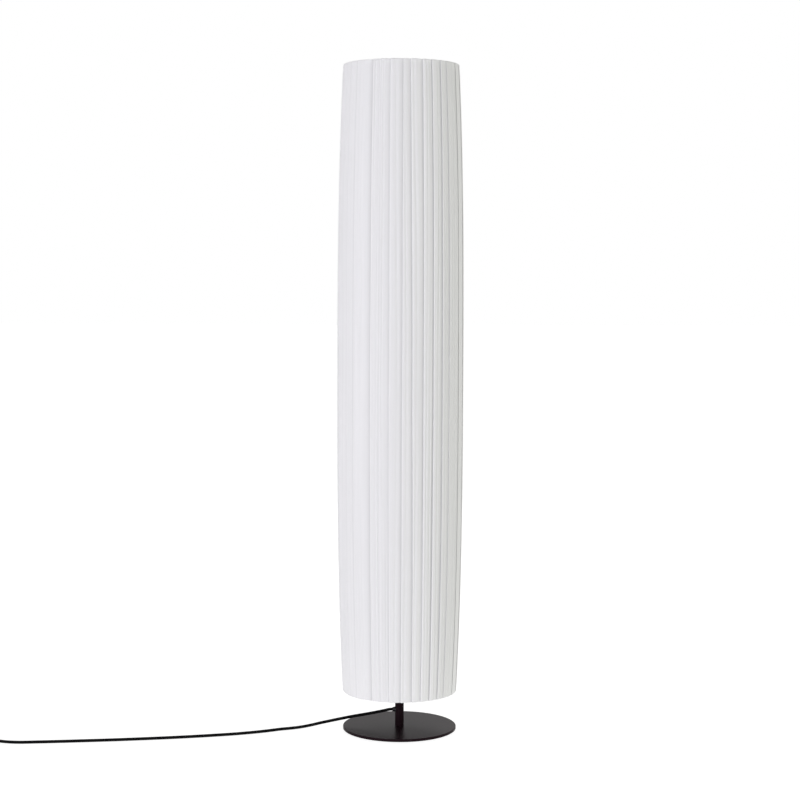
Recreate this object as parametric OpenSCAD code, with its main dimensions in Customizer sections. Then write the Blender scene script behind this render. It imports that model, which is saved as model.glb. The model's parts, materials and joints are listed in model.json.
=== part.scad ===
// Floor lamp: a tall pleated fabric shade on a steel pole and a thin round base.
// Millimetres, +Z up. The origin is on the floor, under the middle of the pole.

/* [Overall] */
// Height from the floor to the top of the shade
lamp_h = 1200; // [1100:10:1400]
// General clearance of a fit, on the radius
fit = 0.1; // [0.05:0.01:0.15]

/* [Base] */
// Diameter of the base plate
base_d = 206; // [180:1:260]
// Thickness of the base plate
base_t = 5; // [5:0.5:10]
// Rounding of the base plate's edge
base_edge_r = 0.8; // [0.5:0.1:2]
// Thickness of the felt under the base
felt_t = 1; // [0.8:0.1:3]
// Width that the felt stays inside the plate's edge
felt_inset = 5; // [2:1:12]
// Diameter of the hole in the felt
felt_hole_d = 40; // [24:1:80]
// Thread diameter of the screw that holds the pole
base_screw_d = 8; // [6:1:8]
// Length of that screw, head included
base_screw_l = 22; // [16:1:26]

/* [Pole] */
// Outer diameter of the pole
pole_d = 16; // [14:0.5:18]
// Wall of the pole
pole_wall = 1.2; // [1:0.1:1.5]
// Length of the lower half of the pole
lower_pole_l = 594; // [480:1:640]
// Length of the threaded bush in the pole's foot
foot_bush_l = 22; // [14:1:23]
// Length of the sleeve that joins the halves of the pole
coupler_l = 50; // [30:1:90]
// Bore of that sleeve
coupler_bore_d = 9; // [8:0.5:10]

/* [Shade] */
// Gap between the floor and the bottom of the shade
shade_z = 71; // [60:1:90]
// Diameter of the shade at both ends, over the pleats
shade_end_d = 208; // [190:1:230]
// Diameter of the shade at the middle of its height, over the pleats
shade_mid_d = 228; // [200:1:250]
// Fullness of the barrel, 2 is a parabola and more is flatter in the middle
barrel_power = 2.8; // [2:0.1:4]
// Number of pleats
pleats = 36; // [24:2:48]
// Depth of a pleat, from its fold to where it tucks under the next
pleat_depth = 2; // [1:0.1:3]
// Thickness of the fabric
fabric_t = 0.8; // [0.6:0.1:1.2]
// Height of the rolled hem at each end
hem_h = 2; // [1.5:0.1:4]
// Width of the rolled hem
hem_w = 7; // [6:0.5:9]
// Space between the fabric and the wires that carry it
fabric_gap = 0.3; // [0.2:0.05:0.6]
// Wire of the ribs
rib_d = 3; // [2:0.1:4]
// Wire of the three hoops inside the ribs
hoop_d = 3; // [2:0.1:4]
// Wire of the end rings
ring_d = 4; // [3.5:0.1:5]
// Wire of the arms that carry the end rings
arm_d = 3.5; // [2.5:0.1:3.8]
// Number of arms that carry each end ring
arms = 4; // [3:1:6]

/* [Shade fitting] */
// Depth of the top hub below the top of the shade
hub_drop = 22; // [20:1:34]
// Thickness of the top hub
hub_t = 3; // [2:0.5:4]
// Thread diameter of the stud at the top of the pole
stud_d = 10; // [8:1:10]
// Length of the stud's plug inside the pole
stud_plug_l = 26; // [16:1:40]
// Thickness of the washer on the top hub
washer_t = 1.5; // [1:0.1:2]
// Diameter of the washer and the closed nut
washer_d = 22; // [20:1:22]
// Diameter of the closed nut
cap_nut_d = 18; // [15:1:19]
// Height of the closed nut
cap_nut_h = 11.5; // [10:0.5:12]

/* [Lampholders] */
// Height of the lower lampholder's bracket
lower_lamp_z = 250; // [200:1:400]
// Height of the upper lampholder's bracket
upper_lamp_z = 815; // [760:1:900]
// Distance from the pole's axis to the bulb's axis
lamp_reach = 42; // [40:1:50]
// Width of the bracket's strip
bracket_w = 20; // [16:1:24]
// Thickness of the bracket's strip
bracket_t = 2; // [1.5:0.1:3]
// Height of the bracket's upright leg
bracket_leg = 30; // [24:1:36]
// Thread diameter of the bracket's screw
bracket_screw_d = 4; // [3:0.5:4]
// Outer diameter of the lampholder
holder_d = 39; // [37:0.5:42]
// Wall of the lampholder
holder_wall = 1.8; // [1.4:0.1:2.2]
// Height of the lampholder's lower cap
holder_cap_h = 22; // [21:0.5:24]
// Height of the lampholder's sleeve
holder_sleeve_h = 34; // [30:1:36]
// Outer diameter of the threaded tube through the bracket
nipple_d = 10; // [9:0.5:10]
// Bore of the threaded tube
nipple_bore_d = 6.5; // [5:0.1:7]
// Width of the lock nut across its flats
nipple_nut_af = 14; // [13:0.5:17]

/* [Bulbs] */
// Diameter of the bulb's globe
bulb_d = 60; // [50:1:62]
// Wall of the bulb's globe
bulb_wall = 1.2; // [0.8:0.1:2]
// Diameter of the bulb's screw cap
bulb_cap_d = 26.4; // [25:0.1:26.6]
// Height of the bulb's screw cap
bulb_cap_h = 24; // [22:0.5:26]
// Height of the bulb's plastic collar
bulb_collar_h = 28; // [20:1:34]

/* [Cord] */
// Diameter of the cord
cord_d = 5.5; // [4:0.1:5.8]
// Height of the cord's gland on the pole
gland_z = 35; // [33:0.5:50]
// Diameter of the gland where it meets the pole
gland_d = 11; // [10:0.5:12]
// Length of the gland outside the pole
gland_l = 5; // [4:0.5:12]
// Diameter of the leads inside the pole
lead_d = 2.6; // [2:0.1:2.8]
// Diameter of the coil's widest turn, at the middle of the cord
coil_d = 77; // [74:0.5:86]
// Number of turns in the coil, always a half turn over a whole number
coil_turns = 5.5; // [3.5:1:7.5]
// Space between neighbouring turns
coil_gap = 0.6; // [0.5:0.1:1]
// Thickness of the tie round the coil
tie_t = 0.8; // [0.6:0.1:1.2]
// Width of the tie
tie_w = 8; // [6:0.5:10]

/* [Foot switch] */
// Length of the switch's housing
switch_l = 76; // [72:1:90]
// Width of the switch's housing
switch_w = 34; // [33:0.5:40]
// Height of the switch's housing
switch_h = 21; // [20:0.5:26]
// Height of the cord's axis and the parting line of the housing
switch_part_z = 7.5; // [7:0.1:9]
// Wall of the housing
switch_wall = 2.2; // [1.8:0.1:2.4]
// Diameter of the foot button
button_d = 24; // [20:0.5:24]
// Travel of the button
button_travel = 3; // [2:0.1:3.5]
// Height that the pressed button still stands proud of the housing
button_pressed = 2; // [1.5:0.1:4]
// Wire of the button's spring
spring_wire_d = 1.2; // [0.8:0.1:1.4]
// Diameter of the spring at the middle of its wire
spring_d = 14; // [13:0.5:15]
// Number of the spring's coils
spring_coils = 5; // [4:1:6]

/* [Plug] */
// Width of the plug
plug_w = 35.3; // [35:0.1:37]
// Thickness of the plug
plug_t = 13.7; // [13.5:0.1:15]
// Length of the plug's body
plug_l = 38; // [36:1:42]
// Length of the plug's tapered tail
plug_tail_l = 18; // [16:1:20]
// Diameter of a pin
pin_d = 4; // [4:0.1:4.8]
// Length of a pin outside the plug
pin_l = 19; // [17:0.5:19]
// Distance between the pins
pin_pitch = 18.6; // [17.5:0.1:19]

/* [Hidden] */
$fn = 64;

// Number of upright ribs, each a piece of its own
ribs = 6;

// Extra depth of a cut, so that it passes right through a face
cut = 1;

// How far a wire runs into what it is welded to
weld = 1;

// Base
base_top = felt_t + base_t;
screw_head_r = base_screw_d;
screw_socket_af = base_screw_d * 0.6;
screw_socket_h = 2.5;
edge_r = min(base_edge_r, base_t / 2 - 0.2);

// Pole
pole_r = pole_d / 2;
bore_r = pole_r - pole_wall;
split_z = base_top + lower_pole_l;
hub_z = lamp_h - hub_drop;
stud_flange_t = 2;
pole_top = hub_z - stud_flange_t;
cap_nut_end_t = 3;

// Shade: five heights where a ring or hoop carries the fabric, and its radius at each
shade_low = shade_z + hem_h;
shade_high = lamp_h - hem_h;
shade_mid_z = (shade_low + shade_high) / 2;
shade_half = (shade_high - shade_low) / 2;
hoop_share = 0.62;
function barrel_r(t) =
    shade_end_d / 2 + (shade_mid_d - shade_end_d) / 2 * (1 - pow(abs(t), barrel_power));
stations = [
    for (t = [-1, -hoop_share, 0, hoop_share, 1]) [shade_mid_z + t * shade_half, barrel_r(t)]
];
function shade_r(z) = lookup(z, stations);

// From the fold of a pleat inwards to the face of the wire that carries it
wire_drop = pleat_depth + fabric_t + fabric_gap;
wire_touch = 0.15;
ring_z_low = shade_low + wire_touch + ring_d / 2;
ring_z_high = shade_high - wire_touch - ring_d / 2;
function ring_r(z) = shade_r(z) - wire_drop - ring_d / 2;
function hoop_r(z) = shade_r(z) - wire_drop - rib_d - wire_touch - hoop_d / 2;

// Pleats: the fold stands out, the panel bulges and falls to the tuck, then steps out again
pleat_pitch = 360 / pleats;
pleat_phase = -88;
pleat_turn = [0, 0.46, 0.92];
pleat_fall = [0, 0.25, 1];
rib_phase = pleat_phase + pleat_turn[2] * pleat_pitch;

// Spiders
hub_r = washer_d / 2 + 2;
arm_bend_r = 74;
guide_wall = 2.4;
guide_r = pole_r + fabric_gap + guide_wall;
guide_hub_t = ring_d + 1;
guide_flange_t = 1.2;
guide_flange_w = 2;
guide_hub_wall = 3;

// Lampholders
bracket_x = pole_r - 0.5;
bracket_bend_r = 1.5;
bracket_screw_h = 18;
bracket_screw_inside = 2;
bracket_screw_head_r = bracket_screw_d;
bracket_screw_head_h = 3;
lead_drop = 22;
grommet_wall = 1.8;
grommet_lip = 1.2;
grommet_proud = 1.5;
lead_hole_r = lead_d / 2 + grommet_wall;
lead_inside_r = bore_r - 0.8;
lead_side = 1.4;
lead_rise = 60;
lead_bend = 35;
lead_reach = 34;
nipple_low = bracket_t + 5;
nipple_high = 9;
nipple_nut_h = 3;
holder_r = holder_d / 2;
seat_w = 2;
block_seat = 14;
block_hole_r = 3;
block_t = holder_cap_h - block_seat;
contact_t = 0.6;
contact_rise = 2;
bulb_z = holder_cap_h + contact_rise + fit;
bulb_tip_h = 4;
bulb_shell_z = bulb_z + bulb_tip_h;
bulb_collar_z = bulb_shell_z + bulb_cap_h;
bulb_globe_z = bulb_collar_z + bulb_collar_h;
bulb_neck_r = bulb_d / 2 * 0.745;
bulb_centre_z = bulb_globe_z + sqrt(pow(bulb_d / 2, 2) - pow(bulb_neck_r, 2));
thread_r = bulb_cap_d / 2 + 3 * fit;
lamp_zs = [lower_lamp_z, upper_lamp_z];

// Cord: its first stretch runs from inside the gland to inside the foot switch
cord_r = cord_d / 2;
cord_start = 4.5;
gland_neck_r = cord_r + 1.2;
gland_mouth_r = cord_r + 0.7;
gland_saddle = 2.8;
switch_x = -765;
switch_y = -119;
collar_l = 8;
collar_r = cord_r + 2.5;
cord_route = [
    [-4.5, 0, 35], [-13, 0, 35], [-20, 0, 34.3], [-30, 0, 32], [-45, 0, 28.9], [-65, 0, 25.2],
    [-85, -0.5, 21.8], [-105, -1.5, 18], [-125, -2.5, 14], [-145, -4, 10], [-163, -6, 6.2],
    [-180, -9, 3.7], [-197, -14, 2.8], [-217, -22, 2.8], [-238, -33, 2.8], [-258, -42, 2.8],
    [-279, -50, 2.8], [-300, -57, 2.8], [-330, -65, 2.8], [-363, -73, 2.8], [-400, -81, 2.8],
    [-438, -88, 2.8], [-480, -95, 2.8], [-520, -101, 2.8], [-560, -106, 2.8], [-600, -111, 2.8],
    [-640, -115, 2.8], [-670, -117.5, 2.8],
    [-695, -119, 4.2], [-712, -119, 6.6], [-721, -119, 7.5], [-731, -119, 7.5]
];

// Coil: in over the bottom layer, up a layer in half a turn, and out over the top layer
coil_pitch = cord_d + coil_gap;
coil_half = coil_turns / 2;
coil_out_r = coil_d / 2;
coil_out_x = 85;
coil_x = switch_x - coil_out_x;
coil_y = switch_y + coil_out_r;
coil_low_z = tie_t + fabric_gap + cord_r;
coil_high_z = coil_low_z + coil_pitch;
coil_steps = 24;
function coil_turn_r(s) = coil_out_r - coil_pitch * (coil_half - abs(s - coil_half));
function coil_climb(s) = min(1, max(0, (s - coil_half) * 2 + 0.5));
function coil_turn_z(s) =
    coil_low_z + (coil_high_z - coil_low_z) * (1 - cos(180 * coil_climb(s))) / 2;
function coil_point(s) = [
    coil_x + coil_turn_r(s) * cos(-90 - 360 * s),
    coil_y + coil_turn_r(s) * sin(-90 - 360 * s),
    coil_turn_z(s)
];
coil_start = [coil_x + cord_d, switch_y, coil_low_z];
coil_end = [coil_x + cord_d, coil_y + coil_out_r, coil_high_z];
coil_path = concat(
    [coil_start], [for (i = [0 : coil_turns * coil_steps]) coil_point(i / coil_steps)], [coil_end]
);

// Least distance between parts of the coil that lie over a third of a turn apart, less the cord
coil_least_gap = min([
    for (i = [0 : len(coil_path) - 1], j = [i + coil_steps / 3 : len(coil_path) - 1])
        norm(coil_path[i] - coil_path[j])
]) - cord_d;
echo(coil_least_gap = coil_least_gap);

// Foot switch
floor_t = 2.4;
cover_t = 2.5;
switch_corner_r = switch_w / 2 - 2;
cover_inset = 3;
cover_edge_wall = 1;
button_top_z = switch_h + button_pressed + button_travel;
button_wall = 2;
button_top_t = 3;
flange_t = 1.5;
flange_r = button_d / 2 + 2;
button_gap = 0.4;
spring_top_z = button_top_z - button_top_t;
spring_low_z = floor_t;
switch_screw_at = [24, 10.5];
switch_screw_r = 1.3;
switch_screw_head_r = 2.7;
switch_screw_head_h = 1.3;
switch_screw_top = 13;
switch_screw_gap = 0.3;
boss_r = 3;

// Plug, beside the coil
plug_ahead = 35;
plug_x = coil_x + plug_ahead;
plug_y = coil_end[1];
plug_z = plug_t / 2;
plug_bore_l = 9;
plug_front_l = 24;
plug_rear_w = 19;
plug_rear_t = 12;
plug_rear_l = 3;
plug_mouth_r = cord_r + 0.8;
plug_tail_r = 5.6;
plug_corner_r = 3;

// The cord's short stretches, from the foot switch to the coil and from the coil to the plug
switch_out = [switch_x - switch_l / 2 - collar_l - 1, switch_y, switch_part_z];
link_route = concat(
    [switch_out + [collar_l + 5, 0, 0]],
    bezier(switch_out, switch_out - [10, 0, 0], coil_start + [10, 0, 0], coil_start, 5)
);
plug_in = [plug_x - 1, plug_y, plug_z];
tail_route = concat(
    bezier(coil_end, coil_end + [10, 0, 0], plug_in - [10, 0, 0], plug_in, 5),
    [plug_in + [plug_bore_l, 0, 0]]
);

// Helpers

function unit(v) = v / norm(v);

// Three more points between each two of a route, on a smooth curve through them all
function route_at(p, i) = p[min(len(p) - 1, max(0, i))];
function between(a, b, c, d, t) =
    b + (c - a) * t / 2 + (2 * a - 5 * b + 4 * c - d) * t * t / 2
    + (3 * b - a - 3 * c + d) * t * t * t / 2;
function smooth_route(p, n) = concat(
    [
        for (i = [0 : len(p) - 2], k = [0 : n - 1])
            between(route_at(p, i - 1), p[i], p[i + 1], route_at(p, i + 2), k / n)
    ],
    [p[len(p) - 1]]
);

function bezier(a, b, c, d, n) = [
    for (i = [0 : n])
        let (t = i / n, u = 1 - t)
        a * u * u * u + b * 3 * u * u * t + c * 3 * u * t * t + d * t * t * t
];

// The ring of points round one point of a path, square to the path
function path_ring(path, i, r, sides, ref) =
    let (
        last = len(path) - 1,
        along = unit(path[min(i + 1, last)] - path[max(i - 1, 0)]),
        side = unit(cross(ref, along)),
        up = cross(along, side)
    )
    [
        for (k = [0 : sides - 1])
            let (a = 360 * (k + 0.5) / sides)
            path[i] + r * (cos(a) * side + sin(a) * up)
    ];

// A tube of one wire or cord along a path
module swept(path, d, sides = 8, ref = [0, 0, 1]) {
    last = len(path) - 1;
    points = [for (i = [0 : last]) each path_ring(path, i, d / 2, sides, ref)];
    wall = [
        for (i = [0 : last - 1], k = [0 : sides - 1])
            let (a = i * sides + k, b = i * sides + (k + 1) % sides)
            each [[a, a + sides, b + sides], [a, b + sides, b]]
    ];
    ends = [
        for (k = [1 : sides - 2])
            each [[0, k, k + 1], [last * sides, last * sides + k + 1, last * sides + k]]
    ];
    polyhedron(points = points, faces = concat(wall, ends), convexity = 10);
}

// A rectangle with round corners, centred
module rounded_rect(w, h, r) {
    square([w - 2 * r, h], center = true);
    square([w, h - 2 * r], center = true);
    for (x = [-1, 1], y = [-1, 1])
        translate([x * (w / 2 - r), y * (h / 2 - r)]) circle(r);
}

// A straight wire between two points
module wire(a, b, d) {
    v = b - a;
    translate(a)
        rotate([0, acos(v[2] / norm(v)), atan2(v[1], v[0])]) cylinder(d = d, h = norm(v));
}

module ring_wire(r, z, d) {
    translate([0, 0, z]) rotate_extrude($fn = 128) translate([r, 0]) circle(d = d);
}

// Places its children at one of the two lampholders, the first on +X and the second on -X
module at_lamp(i) {
    translate([0, 0, lamp_zs[i]]) rotate(180 * i) children();
}

module at_bulb(i) {
    at_lamp(i) translate([lamp_reach, 0, 0]) children();
}

// Holes of one lampholder in the pole: the bracket's screw and the lead
module lamp_holes(i) {
    at_lamp(i) {
        translate([0, 0, bracket_screw_h])
            rotate([0, 90, 0]) cylinder(d = bracket_screw_d + fit, h = pole_r + cut);
        translate([0, 0, -lead_drop])
            rotate([0, 90, 0]) cylinder(r = lead_hole_r, h = pole_r + cut);
    }
}

// Base

module base_plate() {
    color("#444042")
    difference() {
        translate([0, 0, felt_t]) rotate_extrude($fn = 128) {
            square([base_d / 2 - edge_r, base_t]);
            translate([0, edge_r]) square([base_d / 2, base_t - 2 * edge_r]);
            for (z = [edge_r, base_t - edge_r]) translate([base_d / 2 - edge_r, z]) circle(edge_r);
        }
        translate([0, 0, felt_t - cut]) cylinder(d = base_screw_d + 2 * fit, h = base_t + 2 * cut);
        translate([0, 0, felt_t - cut])
            cylinder(r1 = screw_head_r + fit + cut, r2 = base_screw_d / 2 + fit,
                h = screw_head_r - base_screw_d / 2 + cut);
    }
}

module base_felt() {
    color("#2b2b2d")
    difference() {
        cylinder(d = base_d - 2 * felt_inset, h = felt_t, $fn = 128);
        translate([0, 0, -cut]) cylinder(d = felt_hole_d, h = felt_t + 2 * cut);
    }
}

module base_screw() {
    color("#b9bcc0")
    difference() {
        translate([0, 0, felt_t]) {
            cylinder(d = base_screw_d - fit, h = base_screw_l);
            cylinder(r1 = screw_head_r, r2 = base_screw_d / 2 - fit / 2,
                h = screw_head_r - base_screw_d / 2 + fit / 2);
        }
        translate([0, 0, felt_t - cut])
            cylinder(d = screw_socket_af / cos(30), h = screw_socket_h + cut, $fn = 6);
    }
}

// Pole

module pole_foot_bush() {
    color("#b9bcc0")
    translate([0, 0, base_top]) difference() {
        cylinder(r = bore_r - fit, h = foot_bush_l);
        translate([0, 0, -cut]) cylinder(d = base_screw_d + fit, h = foot_bush_l + 2 * cut);
    }
}

module pole_tube(z, l) {
    translate([0, 0, z]) difference() {
        cylinder(r = pole_r, h = l);
        translate([0, 0, -cut]) cylinder(r = bore_r, h = l + 2 * cut);
    }
}

module lower_pole() {
    color("#1c1a1c")
    difference() {
        pole_tube(base_top, lower_pole_l);
        lamp_holes(0);
        translate([0, 0, gland_z])
            rotate([0, -90, 0]) cylinder(r = gland_neck_r + fit, h = pole_r + cut);
    }
}

module upper_pole() {
    color("#1c1a1c")
    difference() {
        pole_tube(split_z, pole_top - split_z);
        lamp_holes(1);
    }
}

module pole_coupler() {
    color("#b9bcc0")
    translate([0, 0, split_z - coupler_l / 2]) difference() {
        cylinder(r = bore_r - fit, h = coupler_l);
        translate([0, 0, -cut]) cylinder(d = coupler_bore_d, h = coupler_l + 2 * cut);
    }
}

module top_stud() {
    stud_l = hub_t + washer_t + cap_nut_h - cap_nut_end_t;
    color("#b9bcc0") {
        translate([0, 0, pole_top - stud_plug_l]) cylinder(r = bore_r - fit, h = stud_plug_l);
        translate([0, 0, pole_top]) cylinder(r = pole_r, h = stud_flange_t);
        translate([0, 0, hub_z]) cylinder(d = stud_d - 2 * fit, h = stud_l);
    }
}

// Shade frame

module top_spider() {
    color("#e6e6e4") {
        difference() {
            translate([0, 0, hub_z]) cylinder(r = hub_r, h = hub_t);
            translate([0, 0, hub_z - cut]) cylinder(d = stud_d + 2 * fit, h = hub_t + 2 * cut);
        }
        ring_wire(ring_r(ring_z_high), ring_z_high, ring_d);
        for (k = [0 : arms - 1]) rotate(k * 360 / arms) {
            wire([hub_r - weld, 0, hub_z + hub_t / 2], [arm_bend_r, 0, hub_z + hub_t / 2], arm_d);
            wire([arm_bend_r, 0, hub_z + hub_t / 2], [ring_r(ring_z_high), 0, ring_z_high], arm_d);
            translate([arm_bend_r, 0, hub_z + hub_t / 2]) sphere(d = arm_d + 2 * fit);
        }
    }
}

module top_washer() {
    color("#b9bcc0")
    translate([0, 0, hub_z + hub_t]) difference() {
        cylinder(d = washer_d, h = washer_t);
        translate([0, 0, -cut]) cylinder(d = stud_d + 2 * fit, h = washer_t + 2 * cut);
    }
}

module cap_nut() {
    color("#c9ccd0")
    translate([0, 0, hub_z + hub_t + washer_t]) difference() {
        intersection() {
            cylinder(d = cap_nut_d, h = cap_nut_h);
            translate([0, 0, cap_nut_h - cap_nut_d]) sphere(r = cap_nut_d, $fn = 128);
        }
        translate([0, 0, -cut]) cylinder(d = stud_d, h = cap_nut_h - cap_nut_end_t + cut + fit);
    }
}

module bottom_spider() {
    color("#e6e6e4") {
        translate([0, 0, ring_z_low - guide_hub_t / 2]) difference() {
            cylinder(r = guide_r + guide_hub_wall, h = guide_hub_t);
            translate([0, 0, -cut]) cylinder(r = guide_r + fit, h = guide_hub_t + 2 * cut);
        }
        ring_wire(ring_r(ring_z_low), ring_z_low, ring_d);
        for (k = [0 : arms - 1]) rotate(k * 360 / arms)
            wire([guide_r + guide_hub_wall - weld, 0, ring_z_low],
                [ring_r(ring_z_low), 0, ring_z_low], arm_d);
    }
}

module guide_bush() {
    color("#2a2a2c")
    translate([0, 0, ring_z_low - guide_hub_t / 2]) difference() {
        union() {
            cylinder(r = guide_r, h = guide_hub_t + guide_flange_t);
            translate([0, 0, guide_hub_t]) cylinder(r = guide_r + guide_flange_w, h = guide_flange_t);
        }
        translate([0, 0, -cut])
            cylinder(r = pole_r + fabric_gap, h = guide_hub_t + guide_flange_t + 2 * cut);
    }
}

module hoop(i) {
    color("#e6e6e4") ring_wire(hoop_r(stations[i][0]), stations[i][0], hoop_d);
}

module lower_hoop() {
    hoop(1);
}

module middle_hoop() {
    hoop(2);
}

module upper_hoop() {
    hoop(3);
}

// An upright wire that bends at each hoop, from one end ring to the other
module rib(k) {
    a = rib_phase + k * 360 / ribs;
    zs = [
        ring_z_low + ring_d / 2 + wire_touch, stations[1][0], stations[2][0], stations[3][0],
        ring_z_high - ring_d / 2 - wire_touch
    ];
    path = [
        for (z = zs)
            let (r = shade_r(z) - wire_drop - rib_d / 2)
            [r * cos(a), r * sin(a), z]
    ];
    color("#e6e6e4") swept(path, rib_d, 8, [-sin(a), cos(a), 0]);
}

module rib_1() {
    rib(0);
}

module rib_2() {
    rib(1);
}

module rib_3() {
    rib(2);
}

module rib_4() {
    rib(3);
}

module rib_5() {
    rib(4);
}

module rib_6() {
    rib(5);
}

// Shade fabric

function pleated_ring(station, inwards) = [
    for (k = [0 : pleats - 1], j = [0 : 2])
        let (
            a = pleat_phase + (k + pleat_turn[j]) * pleat_pitch,
            r = station[1] - pleat_fall[j] * pleat_depth - inwards
        )
        [r * cos(a), r * sin(a), station[0]]
];

module shade_fabric() {
    n = 3 * pleats;
    rows = len(stations);
    inner = n * rows;
    points = concat(
        [for (s = stations) each pleated_ring(s, 0)],
        [for (s = stations) each pleated_ring(s, fabric_t)]
    );
    walls = [
        for (i = [0 : rows - 2], k = [0 : n - 1])
            let (a = i * n + k, b = i * n + (k + 1) % n)
            each [
                [a, a + n, b + n], [a, b + n, b],
                [inner + a, inner + b + n, inner + a + n], [inner + a, inner + b, inner + b + n]
            ]
    ];
    top = (rows - 1) * n;
    rims = [
        for (k = [0 : n - 1])
            let (a = k, b = (k + 1) % n)
            each [
                [a, b, inner + b], [a, inner + b, inner + a],
                [top + b, top + a, inner + top + a], [top + b, inner + top + a, inner + top + b]
            ]
    ];
    color("#e9e7ea") polyhedron(points = points, faces = concat(walls, rims), convexity = 12);
}

// The fabric rolled under an end ring, round at its outer corner
module hem() {
    out_r = shade_end_d / 2 - pleat_depth / 4;
    corner = hem_h * 0.9;
    color("#e3e1e4") rotate_extrude($fn = 128) {
        translate([out_r - hem_w, 0]) square([hem_w - corner, hem_h]);
        translate([out_r - corner, corner]) square([corner, hem_h - corner]);
        translate([out_r - corner, corner]) intersection() {
            circle(corner);
            translate([0, -corner]) square(corner);
        }
    }
}

module bottom_hem() {
    translate([0, 0, shade_z]) hem();
}

module top_hem() {
    translate([0, 0, lamp_h]) mirror([0, 0, 1]) hem();
}

// Lampholders

// A bent strip: the upright leg is hollowed to sit on the pole, the level one carries the holder
module bracket(i) {
    bend = bracket_t + bracket_bend_r;
    color("#d0d2d5")
    at_lamp(i) difference() {
        intersection() {
            rotate([90, 0, 0]) linear_extrude(bracket_w, center = true) {
                translate([bracket_x, bend - bracket_t]) square([bracket_t, bracket_leg - bend]);
                translate([bracket_x + bend, -bracket_t])
                    square([lamp_reach + bracket_w / 2 - bracket_x - bend, bracket_t]);
                translate([bracket_x + bend, bend - bracket_t]) intersection() {
                    difference() {
                        circle(bend);
                        circle(bend - bracket_t);
                    }
                    translate([-bend, -bend]) square(bend);
                }
            }
            translate([0, 0, -bracket_t - cut]) linear_extrude(bracket_leg + bracket_t + 2 * cut) {
                translate([0, -bracket_w / 2]) square([lamp_reach, bracket_w]);
                translate([lamp_reach, 0]) circle(d = bracket_w);
            }
        }
        translate([0, 0, -bracket_t - cut])
            cylinder(r = pole_r + fit, h = bracket_leg + bracket_t + cut);
        translate([lamp_reach, 0, -bracket_t - cut])
            cylinder(d = nipple_d + 2 * fit, h = bracket_t + 2 * cut);
        translate([0, 0, bracket_screw_h])
            rotate([0, 90, 0]) cylinder(d = bracket_screw_d + 2 * fit, h = lamp_reach);
    }
}

module lower_bracket() {
    bracket(0);
}

module upper_bracket() {
    bracket(1);
}

module bracket_screws() {
    color("#b9bcc0")
    for (i = [0, 1]) at_lamp(i) translate([0, 0, bracket_screw_h]) rotate([0, 90, 0]) {
        translate([0, 0, bore_r - bracket_screw_inside])
            cylinder(d = bracket_screw_d - fit,
                h = bracket_x + bracket_t + 2 * fit - bore_r + bracket_screw_inside);
        translate([0, 0, bracket_x + bracket_t + fit])
            cylinder(r1 = bracket_screw_head_r, r2 = bracket_screw_head_r * 0.75,
                h = bracket_screw_head_h);
    }
}

module lamp_nipples() {
    color("#c9a95c")
    for (i = [0, 1]) at_bulb(i) translate([0, 0, -nipple_low]) difference() {
        cylinder(d = nipple_d, h = nipple_low + nipple_high);
        translate([0, 0, -cut]) cylinder(d = nipple_bore_d, h = nipple_low + nipple_high + 2 * cut);
    }
}

module nipple_nuts() {
    color("#c9a95c")
    for (i = [0, 1]) at_bulb(i) translate([0, 0, -bracket_t - nipple_nut_h]) difference() {
        cylinder(d = nipple_nut_af / cos(30), h = nipple_nut_h, $fn = 6);
        translate([0, 0, -cut]) cylinder(d = nipple_d + fit, h = nipple_nut_h + 2 * cut);
    }
}

// Half outline of the lower cap, drawn in by a wall for its inside
module cap_outline(wall, top) {
    curve = holder_r / 2 - wall;
    mid = holder_r / 2;
    translate([0, wall]) square([mid, top - wall]);
    translate([0, mid]) square([holder_r - wall, top - mid]);
    translate([mid, mid]) circle(curve);
}

module holder_cap(i) {
    seat_r = holder_r - holder_wall - seat_w;
    boss_wall = 2.5;
    color("#222224")
    at_bulb(i) rotate_extrude() intersection() {
        square([holder_r, holder_cap_h]);
        difference() {
            cap_outline(0, holder_cap_h);
            difference() {
                cap_outline(holder_wall, holder_cap_h + cut);
                translate([seat_r, 0]) square([holder_r, block_seat]);
                square([nipple_d / 2 + boss_wall, nipple_high]);
            }
            translate([-cut, -cut]) square([nipple_d / 2 + fit + cut, nipple_high + 2 * cut]);
        }
    }
}

module lower_holder_cap() {
    holder_cap(0);
}

module upper_holder_cap() {
    holder_cap(1);
}

// The insulating disc that carries the contacts, with a hole for the wires
module contact_block(i) {
    color("#ece9e0")
    at_bulb(i) translate([0, 0, block_seat]) difference() {
        cylinder(r = holder_r - holder_wall - fit, h = block_t);
        translate([0, 0, -cut]) cylinder(r = block_hole_r, h = block_t + 2 * cut);
    }
}

module lower_contact_block() {
    contact_block(0);
}

module upper_contact_block() {
    contact_block(1);
}

// A bent strip under the bulb's tip and a tongue beside its screw cap
module contacts(i) {
    strip_w = 5;
    tongue_x = bulb_cap_d / 2 + 1.2;
    tongue_foot = 3;
    tongue_h = 4;
    color("#d0a24a")
    at_bulb(i) translate([0, 0, holder_cap_h]) {
        rotate([90, 0, 0]) linear_extrude(strip_w, center = true) polygon([
            [-10, 0], [-4, 0], [-1, contact_rise - contact_t], [5, contact_rise - contact_t],
            [5, contact_rise], [-1.4, contact_rise], [-4.3, contact_t], [-10, contact_t]
        ]);
        translate([tongue_x - tongue_foot, -strip_w / 2, 0])
            cube([tongue_foot + contact_t, strip_w, contact_t]);
        translate([tongue_x, -strip_w / 2, 0]) cube([contact_t, strip_w, tongue_h]);
    }
}

module lower_contacts() {
    contacts(0);
}

module upper_contacts() {
    contacts(1);
}

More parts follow.
